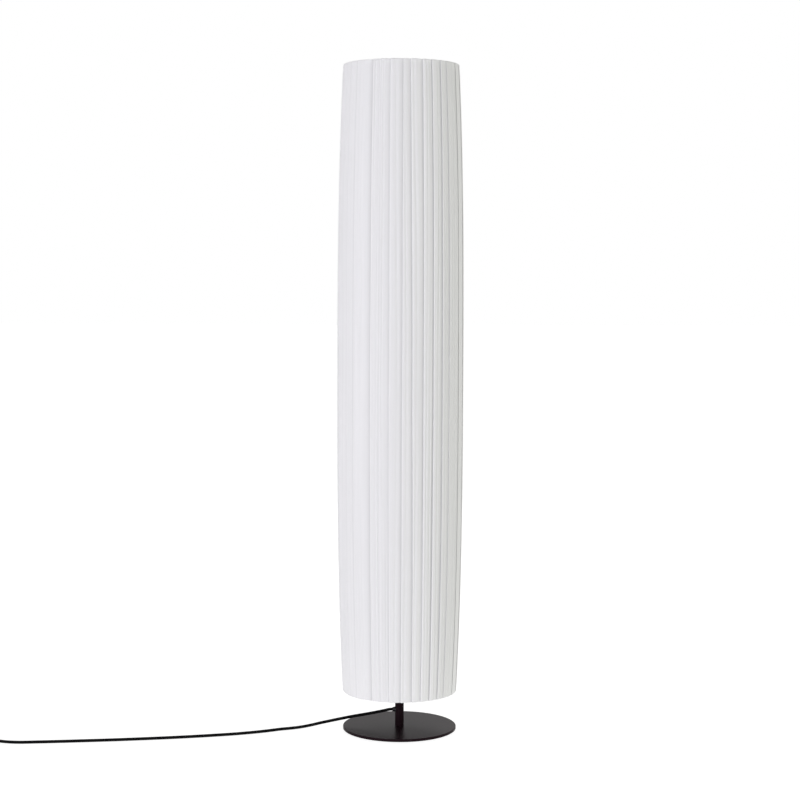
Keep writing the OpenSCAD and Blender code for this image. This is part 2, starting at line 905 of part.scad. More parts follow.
// Outer shell with the threaded tube for the bulb hung from a web near its mouth
module holder_sleeve(i) {
    thread_wall = 1.5;
    thread_low_z = 6;
    web_t = 2;
    web_z = holder_sleeve_h - 7;
    mouth_r = holder_r + 0.8;
    color("#222224")
    at_bulb(i) translate([0, 0, holder_cap_h]) rotate_extrude() {
        polygon([
            [holder_r - holder_wall, 0], [holder_r, 0], [mouth_r, holder_sleeve_h],
            [mouth_r - holder_wall, holder_sleeve_h]
        ]);
        translate([thread_r, web_z]) square([holder_r - holder_wall / 2 - thread_r, web_t]);
        translate([thread_r, thread_low_z]) square([thread_wall, web_z + web_t / 2 - thread_low_z]);
    }
}

module lower_holder_sleeve() {
    holder_sleeve(0);
}

module upper_holder_sleeve() {
    holder_sleeve(1);
}

// Bulbs

module bulb_cap(i) {
    color("#c4c7cb")
    at_bulb(i) translate([0, 0, bulb_z]) rotate_extrude() polygon([
        [0, 0], [4.5, 0], [5, 1], [bulb_cap_d / 2 - 2, bulb_tip_h], [bulb_cap_d / 2, bulb_tip_h + 1.5],
        [bulb_cap_d / 2, bulb_tip_h + bulb_cap_h], [0, bulb_tip_h + bulb_cap_h]
    ]);
}

module lower_bulb_cap() {
    bulb_cap(0);
}

module upper_bulb_cap() {
    bulb_cap(1);
}

module bulb_collar(i) {
    color("#efefed")
    at_bulb(i) translate([0, 0, bulb_collar_z]) rotate_extrude() polygon([
        [0, 0], [thread_r - 4 * fit, 0], [thread_r - 4 * fit, 5], [bulb_neck_r, bulb_collar_h - 3],
        [bulb_neck_r, bulb_collar_h], [0, bulb_collar_h]
    ]);
}

module lower_bulb_collar() {
    bulb_collar(0);
}

module upper_bulb_collar() {
    bulb_collar(1);
}

module bulb_globe(i) {
    color("#f7f5ee")
    at_bulb(i) difference() {
        translate([0, 0, bulb_centre_z]) sphere(d = bulb_d);
        translate([0, 0, bulb_centre_z]) sphere(d = bulb_d - 2 * bulb_wall);
        translate([0, 0, bulb_globe_z - bulb_d]) cylinder(d = 2 * bulb_d, h = bulb_d);
    }
}

module lower_bulb_globe() {
    bulb_globe(0);
}

module upper_bulb_globe() {
    bulb_globe(1);
}

// Leads inside the pole

module lead_grommets() {
    color("#2a2a2c")
    for (i = [0, 1]) at_lamp(i) translate([0, 0, -lead_drop]) difference() {
        union() {
            rotate([0, 90, 0]) cylinder(r = lead_hole_r - fit, h = pole_r + grommet_proud);
            difference() {
                rotate([0, 90, 0])
                    cylinder(r = lead_hole_r + grommet_lip, h = pole_r + grommet_proud);
                translate([0, 0, -lead_drop]) cylinder(r = pole_r, h = 2 * lead_drop);
            }
        }
        rotate([0, 90, 0]) cylinder(d = lead_d + 2 * fit, h = pole_r + grommet_proud + cut);
        translate([0, 0, -lead_drop]) cylinder(r = lead_inside_r, h = 2 * lead_drop);
    }
}

// Up the pole from the cord's end, out through the grommet and up into the threaded tube
module lead(i, y) {
    z = lamp_zs[i];
    out = i == 0 ? 1 : -1;
    path = concat(
        bezier([-cord_start, y, gland_z], [-1, y, gland_z], [0.5, y, gland_z + 1.5],
            [0.5, y, gland_z + 6], 5),
        bezier([0.5, y, z - lead_rise], [0.5, y, z - lead_bend], [out * lead_side, y, z - lead_drop],
            [out * lead_inside_r, 0, z - lead_drop], 6),
        bezier([out * (pole_r + grommet_proud), 0, z - lead_drop],
            [out * lead_reach, 0, z - lead_drop],
            [out * lamp_reach, 0, z - lead_drop - 2], [out * lamp_reach, 0, z - nipple_low + 3], 8)
    );
    color("#7a5230") swept(path, lead_d, 8, [0, 1, 0]);
}

module lower_lead() {
    lead(0, lead_side);
}

module upper_lead() {
    lead(1, -lead_side);
}

// Cord

module cord_gland() {
    color("#161618")
    translate([0, 0, gland_z]) difference() {
        union() {
            difference() {
                rotate([0, -90, 0]) translate([0, 0, pole_r - gland_saddle])
                    cylinder(r1 = gland_d / 2, r2 = gland_mouth_r, h = gland_l + gland_saddle);
                translate([0, 0, -gland_d]) cylinder(r = pole_r, h = 2 * gland_d);
            }
            rotate([0, -90, 0]) translate([0, 0, cord_start])
                cylinder(r = gland_neck_r, h = pole_r - cord_start);
        }
        rotate([0, -90, 0]) cylinder(r = cord_r + fit / 2, h = pole_r + gland_l + cut);
    }
}

module cord() {
    color("#101012") {
        swept(smooth_route(cord_route, 2), cord_d);
        swept(link_route, cord_d);
        swept(tail_route, cord_d);
    }
}

module cord_coil() {
    color("#101012") swept(coil_path, cord_d, 6);
}

module coil_tie() {
    slack = 1;
    first_turn = 0.25;
    in_r = coil_turn_r(first_turn + floor(coil_half - first_turn)) - cord_r - slack;
    out_r = coil_turn_r(first_turn) + cord_r + slack;
    w = out_r - in_r;
    h = coil_high_z + cord_r + fabric_gap - tie_t;
    color("#3a3a3d")
    translate([coil_x - (in_r + out_r) / 2, coil_y, tie_t + h / 2])
        rotate([90, 0, 0]) linear_extrude(tie_w, center = true) difference() {
            rounded_rect(w + 2 * tie_t, h + 2 * tie_t, cord_r);
            rounded_rect(w, h, cord_r - tie_t);
        }
}

// Foot switch

module at_switch() {
    translate([switch_x, switch_y, 0]) children();
}

module switch_outline(inset) {
    rounded_rect(switch_l - 2 * inset, switch_w - 2 * inset, switch_corner_r - inset);
}

module switch_collars() {
    translate([0, 0, switch_part_z]) rotate([0, 90, 0])
        cylinder(r = collar_r, h = switch_l + 2 * collar_l, center = true);
}

module switch_cord_bore() {
    translate([0, 0, switch_part_z]) rotate([0, 90, 0])
        cylinder(r = cord_r + fit / 2, h = switch_l + 2 * collar_l + 2 * cut, center = true);
}

module at_switch_screws() {
    for (s = [-1, 1]) translate([s * switch_screw_at[0], -s * switch_screw_at[1], 0]) children();
}

module switch_base() {
    color("#1a1a1c")
    at_switch() difference() {
        union() {
            linear_extrude(switch_part_z) switch_outline(0);
            intersection() {
                switch_collars();
                translate([-switch_l, -switch_w / 2, 0])
                    cube([2 * switch_l, switch_w, switch_part_z]);
            }
        }
        translate([0, 0, floor_t]) linear_extrude(switch_part_z) switch_outline(switch_wall);
        switch_cord_bore();
        at_switch_screws() {
            translate([0, 0, -cut])
                cylinder(r = switch_screw_r + switch_screw_gap, h = floor_t + 2 * cut);
            translate([0, 0, -cut])
                cylinder(r = switch_screw_head_r + fit, h = switch_screw_head_h + cut);
        }
    }
}

module switch_cover() {
    rise = switch_h - switch_part_z;
    cover_upright = 0.35;
    cover_shoulder = 0.75;
    color("#1a1a1c")
    at_switch() difference() {
        union() {
            translate([0, 0, switch_part_z]) hull() {
                linear_extrude(rise * cover_upright) switch_outline(0);
                linear_extrude(rise * cover_shoulder) switch_outline(cover_inset * cover_upright);
                linear_extrude(rise) switch_outline(cover_inset);
            }
            intersection() {
                switch_collars();
                translate([-switch_l, -switch_w / 2, switch_part_z])
                    cube([2 * switch_l, switch_w, switch_w]);
            }
        }
        difference() {
            translate([0, 0, switch_part_z - cut])
                linear_extrude(rise - cover_t + cut) switch_outline(cover_inset + cover_edge_wall);
            at_switch_screws() cylinder(r = boss_r, h = switch_h);
        }
        translate([0, 0, switch_part_z]) cylinder(r = button_d / 2 + button_gap, h = switch_h);
        translate([0, 0, switch_part_z - cut])
            cylinder(r = flange_r + button_gap, h = rise - cover_t + cut);
        switch_cord_bore();
        at_switch_screws() cylinder(r = switch_screw_r + fit / 2, h = switch_screw_top + fit);
    }
}

module switch_button() {
    flange_z = switch_h - cover_t - fit - flange_t;
    button_crown_r = 2 * button_d;
    color("#2c2c2f")
    at_switch() difference() {
        union() {
            intersection() {
                translate([0, 0, flange_z]) cylinder(d = button_d, h = button_top_z - flange_z);
                translate([0, 0, button_top_z - button_crown_r]) sphere(r = button_crown_r, $fn = 128);
            }
            translate([0, 0, flange_z]) cylinder(r = flange_r, h = flange_t);
        }
        translate([0, 0, flange_z - cut])
            cylinder(r = button_d / 2 - button_wall, h = spring_top_z - flange_z + cut);
    }
}

module switch_spring() {
    steps = 16;
    low = spring_low_z + spring_wire_d / 2 + fit;
    high = spring_top_z - spring_wire_d / 2 - fit;
    path = [
        for (i = [0 : spring_coils * steps])
            let (a = 360 * i / steps, t = i / (spring_coils * steps))
            [spring_d / 2 * cos(a), spring_d / 2 * sin(a), low + (high - low) * t]
    ];
    color("#b9bcc0") at_switch() swept(path, spring_wire_d, 6);
}

module switch_screws() {
    color("#8f9296")
    at_switch() at_switch_screws() {
        translate([0, 0, fit]) cylinder(r = switch_screw_head_r, h = switch_screw_head_h - fit);
        translate([0, 0, fit]) cylinder(r = switch_screw_r - fit / 2, h = switch_screw_top - fit);
    }
}

// Plug

// A block across the plug's axis with round corners, lying along +X
module plug_slice(x, l, w, t) {
    translate([x, 0, 0]) rotate([90, 0, 90])
        linear_extrude(l) rounded_rect(w, t, plug_corner_r, $fn = 32);
}

module plug_body() {
    front = plug_tail_l + plug_l - plug_front_l;
    color("#151517")
    translate([plug_x, plug_y, plug_z]) difference() {
        union() {
            hull() {
                plug_slice(front, plug_front_l, plug_w, plug_t);
                plug_slice(plug_tail_l, plug_rear_l, plug_rear_w, plug_rear_t);
            }
            rotate([0, 90, 0]) cylinder(r1 = plug_mouth_r, r2 = plug_tail_r, h = plug_tail_l + cut);
        }
        translate([-cut, 0, 0]) rotate([0, 90, 0])
            cylinder(r = cord_r + fit / 2, h = plug_bore_l + cut);
    }
}

module plug_pins() {
    color("#c9ccd0")
    for (s = [-1, 1])
        translate([plug_x + plug_tail_l + plug_l + fit, plug_y + s * pin_pitch / 2, plug_z])
            rotate([0, 90, 0]) {
                cylinder(d = pin_d, h = pin_l - pin_d / 2);
                translate([0, 0, pin_l - pin_d / 2]) sphere(d = pin_d);
            }
}

base_plate();
base_felt();
base_screw();
pole_foot_bush();
lower_pole();
pole_coupler();
upper_pole();
top_stud();
top_spider();
top_washer();
cap_nut();
bottom_spider();
guide_bush();
lower_hoop();
middle_hoop();
upper_hoop();
rib_1();
rib_2();
rib_3();
rib_4();
rib_5();
rib_6();
shade_fabric();
top_hem();
bottom_hem();
lower_bracket();
upper_bracket();
bracket_screws();
lamp_nipples();
nipple_nuts();
lower_holder_cap();
upper_holder_cap();
lower_contact_block();
upper_contact_block();
lower_contacts();
upper_contacts();
lower_holder_sleeve();
upper_holder_sleeve();
lower_bulb_cap();
upper_bulb_cap();
lower_bulb_collar();
upper_bulb_collar();
lower_bulb_globe();
upper_bulb_globe();
lead_grommets();
lower_lead();
upper_lead();
cord_gland();
cord();
cord_coil();
coil_tie();
switch_base();
switch_cover();
switch_button();
switch_spring();
switch_screws();
plug_body();
plug_pins();
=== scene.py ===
# %% [markdown]
# # A pleated fabric floor lamp
# The lamp is a tall cloth shade on a thin black pole and plate, with a textile cord. Its construction
# comes in as a fixed frame of named nodes at their real size, in metres. This lesson dresses the frame:
# first the camera and the light, then the cord, the shade, the other finishes and the small pieces.

import json
import math

import bmesh
import bpy
import numpy as np
from mathutils import Matrix, Vector


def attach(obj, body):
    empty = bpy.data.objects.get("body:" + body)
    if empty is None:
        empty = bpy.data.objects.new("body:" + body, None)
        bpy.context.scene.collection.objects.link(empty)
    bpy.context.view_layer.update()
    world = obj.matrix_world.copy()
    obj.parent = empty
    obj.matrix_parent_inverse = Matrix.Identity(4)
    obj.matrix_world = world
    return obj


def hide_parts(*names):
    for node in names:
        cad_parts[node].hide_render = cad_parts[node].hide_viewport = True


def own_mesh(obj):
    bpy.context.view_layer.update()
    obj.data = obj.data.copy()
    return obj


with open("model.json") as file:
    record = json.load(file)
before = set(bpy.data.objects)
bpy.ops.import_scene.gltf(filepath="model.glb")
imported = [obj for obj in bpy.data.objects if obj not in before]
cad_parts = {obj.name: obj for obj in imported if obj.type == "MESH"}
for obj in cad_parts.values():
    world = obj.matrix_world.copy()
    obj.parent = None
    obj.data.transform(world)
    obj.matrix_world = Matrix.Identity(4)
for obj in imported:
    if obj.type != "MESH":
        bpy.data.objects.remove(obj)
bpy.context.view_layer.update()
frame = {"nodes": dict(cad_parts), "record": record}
scene = bpy.context.scene
nodes = frame["nodes"]
MM = 0.001

# %% [markdown]
# ## Camera
# A photograph of a tall thin thing is taken from far back with a long lens, so that its sides stay
# nearly parallel. The place and lens were found by matching the shade's outline, the pole and the base,
# with the lamp 1.2 m tall. A roll of a fifth of a degree follows the lean of the lamp in the picture.

# %% Camera
CAMERA_PLACE = (-0.0007, -3.1398, 0.8139)
CAMERA_TILT = math.radians(86.13)
CAMERA_ROLL = 0.0031
camera_data = bpy.data.cameras.new("photo_camera")
camera_data.sensor_width = 36.0
camera_data.lens = 78.39
camera = bpy.data.objects.new("photo_camera", camera_data)
scene.collection.objects.link(camera)
camera.location = CAMERA_PLACE
turn = Matrix.Rotation(CAMERA_TILT, 3, "X") @ Matrix.Rotation(CAMERA_ROLL, 3, "Z")
camera.rotation_euler = turn.to_euler()
scene.camera = camera
scene.view_settings.view_transform = "Standard"
print("camera:", camera_data.lens, "mm lens at", CAMERA_PLACE)

# %% [markdown]
# ## Finishes as sums
# A finish is a small network of shader nodes. Drawing it by hand is quick, but in a script the links
# hide the idea. So one class wraps a socket, and a sum such as `0.2 + 0.1 * grain` adds the Math nodes
# by itself. All other nodes come from one method that sets their options and fills their sockets.

# %% The two helpers for finishes
class Tone:
    """A socket of a finish, on which sums can be written."""

    def __init__(self, finish, socket):
        self.finish, self.socket = finish, socket

    def maths(self, operation, first, second):
        return self.finish.node("ShaderNodeMath", {"operation": operation}, {0: first, 1: second})

    def __add__(self, other):
        return self.maths("ADD", self, other)

    def __radd__(self, other):
        return self.maths("ADD", other, self)

    def __sub__(self, other):
        return self.maths("SUBTRACT", self, other)

    def __mul__(self, other):
        return self.maths("MULTIPLY", self, other)

    def __rmul__(self, other):
        return self.maths("MULTIPLY", other, self)


class Finish:
    """A material whose surface is filled in by name."""

    def __init__(self, name, **plain):
        self.material = bpy.data.materials.new(name)
        self.material.use_nodes = True
        self.tree = self.material.node_tree
        self.shader = self.tree.nodes["Principled BSDF"]
        self.fill(**plain)
        print("finish:", name)

    def put(self, socket, value):
        if isinstance(value, Tone):
            self.tree.links.new(value.socket, socket)
        elif hasattr(value, "__len__") and len(value) == 3 and socket.type == "RGBA":
            socket.default_value = (*value, 1.0)
        else:
            socket.default_value = value

    def node(self, kind, settings=None, sockets=None, output=0):
        made = self.tree.nodes.new(kind)
        for key, value in (settings or {}).items():
            setattr(made, key, value)
        for key, value in (sockets or {}).items():
            self.put(made.inputs[key], value)
        return Tone(self, made.outputs[output])

    def fill(self, **sockets):
        """Fills sockets of the surface: base_color=..., roughness=..., sheen_weight=..."""
        for key, value in sockets.items():
            words = key.replace("_", " ").title().replace("Ior", "IOR")
            self.put(self.shader.inputs[words], value)

    def place(self, x=1.0, y=1.0, z=1.0):
        """The object's own coordinates in metres, stretched by three factors."""
        where = self.node("ShaderNodeTexCoord", output="Object")
        return self.node("ShaderNodeMapping", {}, {"Vector": where, "Scale": (x, y, z)})

    def cloth_place(self, x=1.0, y=1.0):
        """The piece's own flat map, stretched by two factors."""
        where = self.node("ShaderNodeUVMap", {"uv_map": "cut"})
        return self.node("ShaderNodeMapping", {}, {"Vector": where, "Scale": (x, y, 1.0)})

    def noise(self, where, scale, detail=2.0, rough=0.5):
        sockets = {"Vector": where, "Scale": scale, "Detail": detail, "Roughness": rough}
        return self.node("ShaderNodeTexNoise", {}, sockets)

    def blend(self, share, first, second):
        sockets = {0: share, 6: first, 7: second}
        return self.node("ShaderNodeMix", {"data_type": "RGBA"}, sockets, 2)

    def bump(self, height, depth, strength=1.0):
        sockets = {"Height": height, "Distance": depth, "Strength": strength}
        return self.node("ShaderNodeBump", {}, sockets)

    def split(self, where):
        """The X and Y of a vector as two tones."""
        parts = self.node("ShaderNodeSeparateXYZ", {}, {"Vector": where})
        outputs = parts.socket.node.outputs
        return Tone(self, outputs[0]), Tone(self, outputs[1])

    def wave(self, tone):
        """The sine of a tone, from -1 to 1."""
        return self.node("ShaderNodeMath", {"operation": "SINE"}, {0: tone})


# %% [markdown]
# ## Stage and light
# A catalogue picture stands the lamp in a white room with one large soft lamp at the left front, so
# the folds throw their shade to the right. Two weaker lamps fill the right and the back. The white is
# a colour that the camera and reflections see. The room's light on the cloth is weaker, so that a
# colour renders about as it is written. The floor adds a little of the light that falls on it, which
# leaves the lamp's shadow in the white. It is clear from below, so that the underside can be looked at.

# %% Room
world = bpy.data.worlds.new("white_room")
world.use_nodes = True
scene.world = world
links, room = world.node_tree.links, world.node_tree.nodes
room.clear()
ROOM_LIGHT = 0.45
rays = room.new("ShaderNodeLightPath")
sees_white = rays.outputs["Is Camera Ray"]
for kind in ("Is Transmission Ray", "Is Glossy Ray"):
    larger = room.new("ShaderNodeMath")
    larger.operation = "MAXIMUM"
    links.new(sees_white, larger.inputs[0])
    links.new(rays.outputs[kind], larger.inputs[1])
    sees_white = larger.outputs[0]
soft_light, white = room.new("ShaderNodeBackground"), room.new("ShaderNodeBackground")
soft_light.inputs["Color"].default_value = (1.0, 1.0, 0.985, 1.0)
soft_light.inputs["Strength"].default_value = ROOM_LIGHT
white.inputs["Color"].default_value = (1.0, 1.0, 1.0, 1.0)
either = room.new("ShaderNodeMixShader")
links.new(sees_white, either.inputs["Fac"])
links.new(soft_light.outputs[0], either.inputs[1])
links.new(white.outputs[0], either.inputs[2])
links.new(either.outputs[0], room.new("ShaderNodeOutputWorld").inputs["Surface"])
print("light of the room:", ROOM_LIGHT)

# %% Floor
FLOOR_SIZE = 60.0
FLOOR_Z = -0.2 * MM
FLOOR_GLOW = 0.86
FLOOR_OWN_COLOUR, FLOOR_SHADOW_SHARE = 0.95, 0.36
FAR_LIGHT, NEAR_LIGHT = 0.13, 0.56
NEAR_SCALE = 2.2


def grey(level):
    """A colour with no hue."""
    return level, level, level


bpy.ops.object.select_all(action="DESELECT")
bpy.ops.mesh.primitive_plane_add(size=FLOOR_SIZE, location=(0.0, 0.0, FLOOR_Z))
floor = bpy.context.object
floor.name = "floor"
floor_finish = Finish("pale_floor", roughness=0.9, specular_ior_level=0.0)
round_lamp = {"Vector": floor_finish.place(NEAR_SCALE, NEAR_SCALE, NEAR_SCALE)}
near_lamp = floor_finish.node("ShaderNodeTexGradient", {"gradient_type": "SPHERICAL"}, round_lamp, 1)
floor_finish.fill(
    base_color=grey(FLOOR_OWN_COLOUR), emission_strength=1.0,
    emission_color=floor_finish.blend(near_lamp, grey(FAR_LIGHT), grey(NEAR_LIGHT)),
)
floor.data.materials.append(floor_finish.material)
seen_floor = floor_finish.node("ShaderNodeLightPath", output="Is Camera Ray")
glossy_floor = floor_finish.node("ShaderNodeLightPath", output="Is Glossy Ray")
clear_floor = floor_finish.node("ShaderNodeLightPath", output="Is Transmission Ray")
glow = floor_finish.node("ShaderNodeEmission", {}, {"Strength": FLOOR_GLOW})
matt = floor_finish.node("ShaderNodeBsdfDiffuse", {}, {"Color": grey(FLOOR_SHADOW_SHARE)})
white_floor = floor_finish.node("ShaderNodeAddShader", {}, {0: glow, 1: matt})
plain_floor = Tone(floor_finish, floor_finish.shader.outputs[0])
shown_share = seen_floor + glossy_floor + clear_floor
both = floor_finish.node("ShaderNodeMixShader", {}, {0: shown_share, 1: plain_floor, 2: white_floor})
from_below = floor_finish.node("ShaderNodeNewGeometry", output="Backfacing")
see_through = floor_finish.node("ShaderNodeBsdfTransparent")
floor_surface = floor_finish.node("ShaderNodeMixShader", {}, {0: from_below, 1: both, 2: see_through})
floor_output = floor_finish.tree.nodes["Material Output"]
floor_finish.tree.links.new(floor_surface.socket, floor_output.inputs["Surface"])
print("floor:", FLOOR_SIZE, "m across")

# %% Lamps
def soft_lamp(name, place, target, size, watts, colour):
    """A square soft lamp that looks at a point."""
    data = bpy.data.lights.new(name, "AREA")
    data.size, data.energy, data.color = size, watts, colour
    lamp = bpy.data.objects.new(name, data)
    scene.collection.objects.link(lamp)
    lamp.location = place
    lamp.rotation_euler = (Vector(target) - Vector(place)).to_track_quat("-Z", "Y").to_euler()
    print(name, watts, "W")


MIDDLE = (0.0, 0.0, 0.6)
soft_lamp("left_soft_lamp", (-2.1, -3.0, 0.78), MIDDLE, 1.3, 51.5, (0.92, 0.90, 1.0))
soft_lamp("right_fill_lamp", (3.6, -0.7, 0.72), MIDDLE, 1.3, 22.0, (0.98, 1.0, 0.90))
soft_lamp("back_fill_lamp", (0.6, 3.0, 2.4), MIDDLE, 1.6, 30.0, (1.0, 1.0, 0.98))

# %% [markdown]
# ## The cord's route
# A cord is one length of something flexible. This one leaves the pole through a small gland, slopes to
# the floor, runs left in a loose curve, goes through a foot switch and is put away in a coil of two
# layers beside its plug. The points repeat the route of the construction. Between them the line is a
# smooth curve through every point, and the coil's turns come from a formula.

# %% Lines for cords
def through(points, steps):
    """A smooth curve through all the points."""
    p = [np.array(q, float) for q in points]
    line = []
    for i in range(len(p) - 1):
        a, b, c, d = p[max(i - 1, 0)], p[i], p[i + 1], p[min(i + 2, len(p) - 1)]
        for t in np.arange(steps) / steps:
            square = (2 * a - 5 * b + 4 * c - d) * t * t / 2
            cube = (3 * b - a - 3 * c + d) * t * t * t / 2
            line.append(b + (c - a) * t / 2 + square + cube)
    return line + [p[-1]]


def handled(a, b, c, d, steps):
    """A curve from a to d with two handles."""
    a, b, c, d = (np.array(q, float) for q in (a, b, c, d))
    line = []
    for t in np.arange(steps + 1) / steps:
        u = 1 - t
        line.append(a * u**3 + b * 3 * u * u * t + c * 3 * u * t * t + d * t**3)
    return line


def evened(line, step):
    """The line again, with points a step apart."""
    line = np.array(line)
    along = np.concatenate([[0], np.cumsum(np.linalg.norm(np.diff(line, axis=0), axis=1))])
    at = np.linspace(0, along[-1], max(2, int(round(along[-1] / step))) + 1)
    return np.stack([np.interp(at, along, line[:, k]) for k in range(3)], axis=1)


# %% Route
CORD_D = 5.5 * MM
SWITCH = np.array([-765, -119, 0.0]) * MM
SWITCH_PART_Z = 7.5 * MM
ROUTE_MM = [
    (-4.5, 0, 35), (-13, 0, 35), (-20, 0, 34.3), (-30, 0, 32), (-45, 0, 28.9), (-65, 0, 25.2),
    (-85, -0.5, 21.8), (-105, -1.5, 18), (-125, -2.5, 14), (-145, -4, 10), (-163, -6, 6.2),
    (-180, -9, 3.7), (-197, -14, 2.8), (-217, -22, 2.8), (-238, -33, 2.8), (-258, -42, 2.8),
    (-279, -50, 2.8), (-300, -57, 2.8), (-330, -65, 2.8), (-363, -73, 2.8), (-400, -81, 2.8),
    (-438, -88, 2.8), (-480, -95, 2.8), (-520, -101, 2.8), (-560, -106, 2.8), (-600, -111, 2.8),
    (-640, -115, 2.8), (-670, -117.5, 2.8),
    (-695, -119, 4.2), (-712, -119, 6.6), (-721, -119, 7.5), (-731, -119, 7.5),
]
COIL_PITCH = 6.1 * MM
COIL_TURNS = 5.5
COIL_OUT_R = 38.5 * MM
COIL_MIDDLE = SWITCH + np.array([-85 * MM, COIL_OUT_R, 0])
COIL_LOW_Z = 3.85 * MM
COIL_STEPS = 72
STRETCH_STEPS, BEND_STEPS = 12, 24
CORD_IN_PLUG = 9 * MM


def coil_point(s):
    """A point of the coil, s turns from its start: in over the bottom layer and out over the top."""
    half = COIL_TURNS / 2
    radius = COIL_OUT_R - COIL_PITCH * (half - abs(s - half))
    climb = min(1, max(0, (s - half) * 2 + 0.5))
    angle = -math.pi / 2 - 2 * math.pi * s
    height = COIL_LOW_Z + COIL_PITCH * (1 - math.cos(math.pi * climb)) / 2
    return COIL_MIDDLE + np.array([radius * math.cos(angle), radius * math.sin(angle), height])


coil_start = COIL_MIDDLE + np.array([CORD_D, -COIL_OUT_R, COIL_LOW_Z])
coil_end = COIL_MIDDLE + np.array([CORD_D, COIL_OUT_R, COIL_LOW_Z + COIL_PITCH])
switch_out = SWITCH + np.array([-47 * MM, 0, SWITCH_PART_Z])
plug_in = np.array([-816, -42, 6.85]) * MM
handle = np.array([10 * MM, 0, 0])
route = through(np.array(ROUTE_MM) * MM, STRETCH_STEPS)
route += handled(switch_out, switch_out - handle, coil_start + handle, coil_start, BEND_STEPS)
route += [coil_point(i / COIL_STEPS) for i in range(int(COIL_TURNS * COIL_STEPS) + 1)]
route += handled(coil_end, coil_end + handle, plug_in - handle, plug_in, BEND_STEPS)
route += [plug_in + np.array([CORD_IN_PLUG, 0, 0])]
cord_line = evened(route, 2.5 * MM)

# %% [markdown]
# ## A tube along a line
# Wires and cords are round tubes along such a line. Each ring is carried on from the one before, so the
# tube never twists, and the flat map "cut" holds the way round and the distance along, in metres, which
# lets a braid follow every bend.

# %% Tubes
def tube(name, line, radius, sides):
    """A closed round tube along a line, with its flat map."""
    line = np.array(line)
    tangents = np.gradient(line, axis=0)
    tangents /= np.linalg.norm(tangents, axis=1)[:, None]
    side = np.cross([0.0, 0.0, 1.0], tangents[0])
    if np.linalg.norm(side) < 0.1:
        side = np.array([1.0, 0.0, 0.0])
    points, turns = [], 2 * math.pi * np.arange(sides) / sides
    for centre, ahead in zip(line, tangents):
        side = side - ahead * (side @ ahead)
        side /= np.linalg.norm(side)
        up = np.cross(ahead, side)
        points += [centre + radius * (math.cos(a) * side + math.sin(a) * up) for a in turns]
    faces, last = [], (len(line) - 1) * sides
    for i in range(0, last, sides):
        for k in range(sides):
            after = (k + 1) % sides
            faces.append((i + k, i + after, i + sides + after, i + sides + k))
    faces += [tuple(reversed(range(sides))), tuple(last + k for k in range(sides))]
    mesh = bpy.data.meshes.new(name)
    mesh.from_pydata([tuple(p) for p in points], [], faces)
    along = np.concatenate([[0], np.cumsum(np.linalg.norm(np.diff(line, axis=0), axis=1))])
    flat_map = mesh.uv_layers.new(name="cut")
    girth = 2 * math.pi * radius
    for face in mesh.polygons[:last]:
        i, k = divmod(face.index, sides)
        corners = ((k, i), (k + 1, i), (k + 1, i + 1), (k, i + 1))
        for loop, (round_step, along_step) in zip(face.loop_indices, corners):
            flat_map.data[loop].uv = (girth * round_step / sides, along[along_step])
    mesh.polygons.foreach_set("use_smooth", [len(f.vertices) == 4 for f in mesh.polygons])
    piece = bpy.data.objects.new(name, mesh)
    scene.collection.objects.link(piece)
    return piece


# %% [markdown]
# ## Textile sleeve
# The cord is dark cotton braided round its wires. The braid is two families of threads that cross in
# small diamonds, so its relief is the product of two slanted waves on the tube's flat map.

# %% Braided cord
BRAID_STRANDS = 8
BRAID_PITCH = 4.4 * MM
BRAID_ROUND = 2 * math.pi * BRAID_STRANDS / (math.pi * CORD_D)
BRAID_ALONG = 2 * math.pi / BRAID_PITCH
braid = Finish("braided_cord", roughness=0.8, specular_ior_level=0.08)
round_way, long_way = braid.split(braid.cloth_place())
one_way = braid.wave(round_way * BRAID_ROUND + long_way * BRAID_ALONG)
other_way = braid.wave(round_way * BRAID_ROUND - long_way * BRAID_ALONG)
relief = one_way * other_way * 0.5 + 0.5
# The colour follows the relief: painted shade darkens the low parts between the threads.
braid.fill(
    base_color=braid.blend(relief, (0.0008, 0.0008, 0.0009), (0.0045, 0.0044, 0.0048)),
    normal=braid.bump(relief, 0.35 * MM, 0.8),
)
cord = tube("power_cord", cord_line, CORD_D / 2, 16)
cord.data.materials.append(braid.material)
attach(cord, "lamp")
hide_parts("cord", "cord_coil")
print("cord:", len(cord.data.polygons), "faces")

# %% [markdown]
# ## Cloth of the shade
# The cloth is an off-white plain weave. The threads are finer than a pixel from across a room, so they
# are a small relief on the flat map, and slightly uneven threads give faint upright streaks. A painted
# highlight makes the cloth palest along a fold's edge, and painted shade makes it dullest in the tuck.
# Two numbers on each point say how strong the painted highlight and the painted shade are there.

# %% Pleated cloth
CLOTH_W, CLOTH_L = 0.99, 1.17
THREAD = 0.55 * MM
WEAVE_SHARE = 0.4
# The last two greys are a painted highlight for the folds' edges and painted shade for the tucks.
DULL_STREAK, PALE_STREAK, PAINTED_HIGHLIGHT_GREY, PAINTED_SHADE_GREY = 0.80, 0.89, 0.915, 0.69
weave = Finish("pleated_cloth", roughness=0.9, specular_ior_level=0.15)
across, down = weave.split(weave.cloth_place(CLOTH_W, CLOTH_L))
threads = weave.wave(across * (2 * math.pi / THREAD)) * weave.wave(down * (2 * math.pi / THREAD))
streaks = weave.noise(weave.cloth_place(260.0, 5.0), 1.0, 3.0, 0.6)
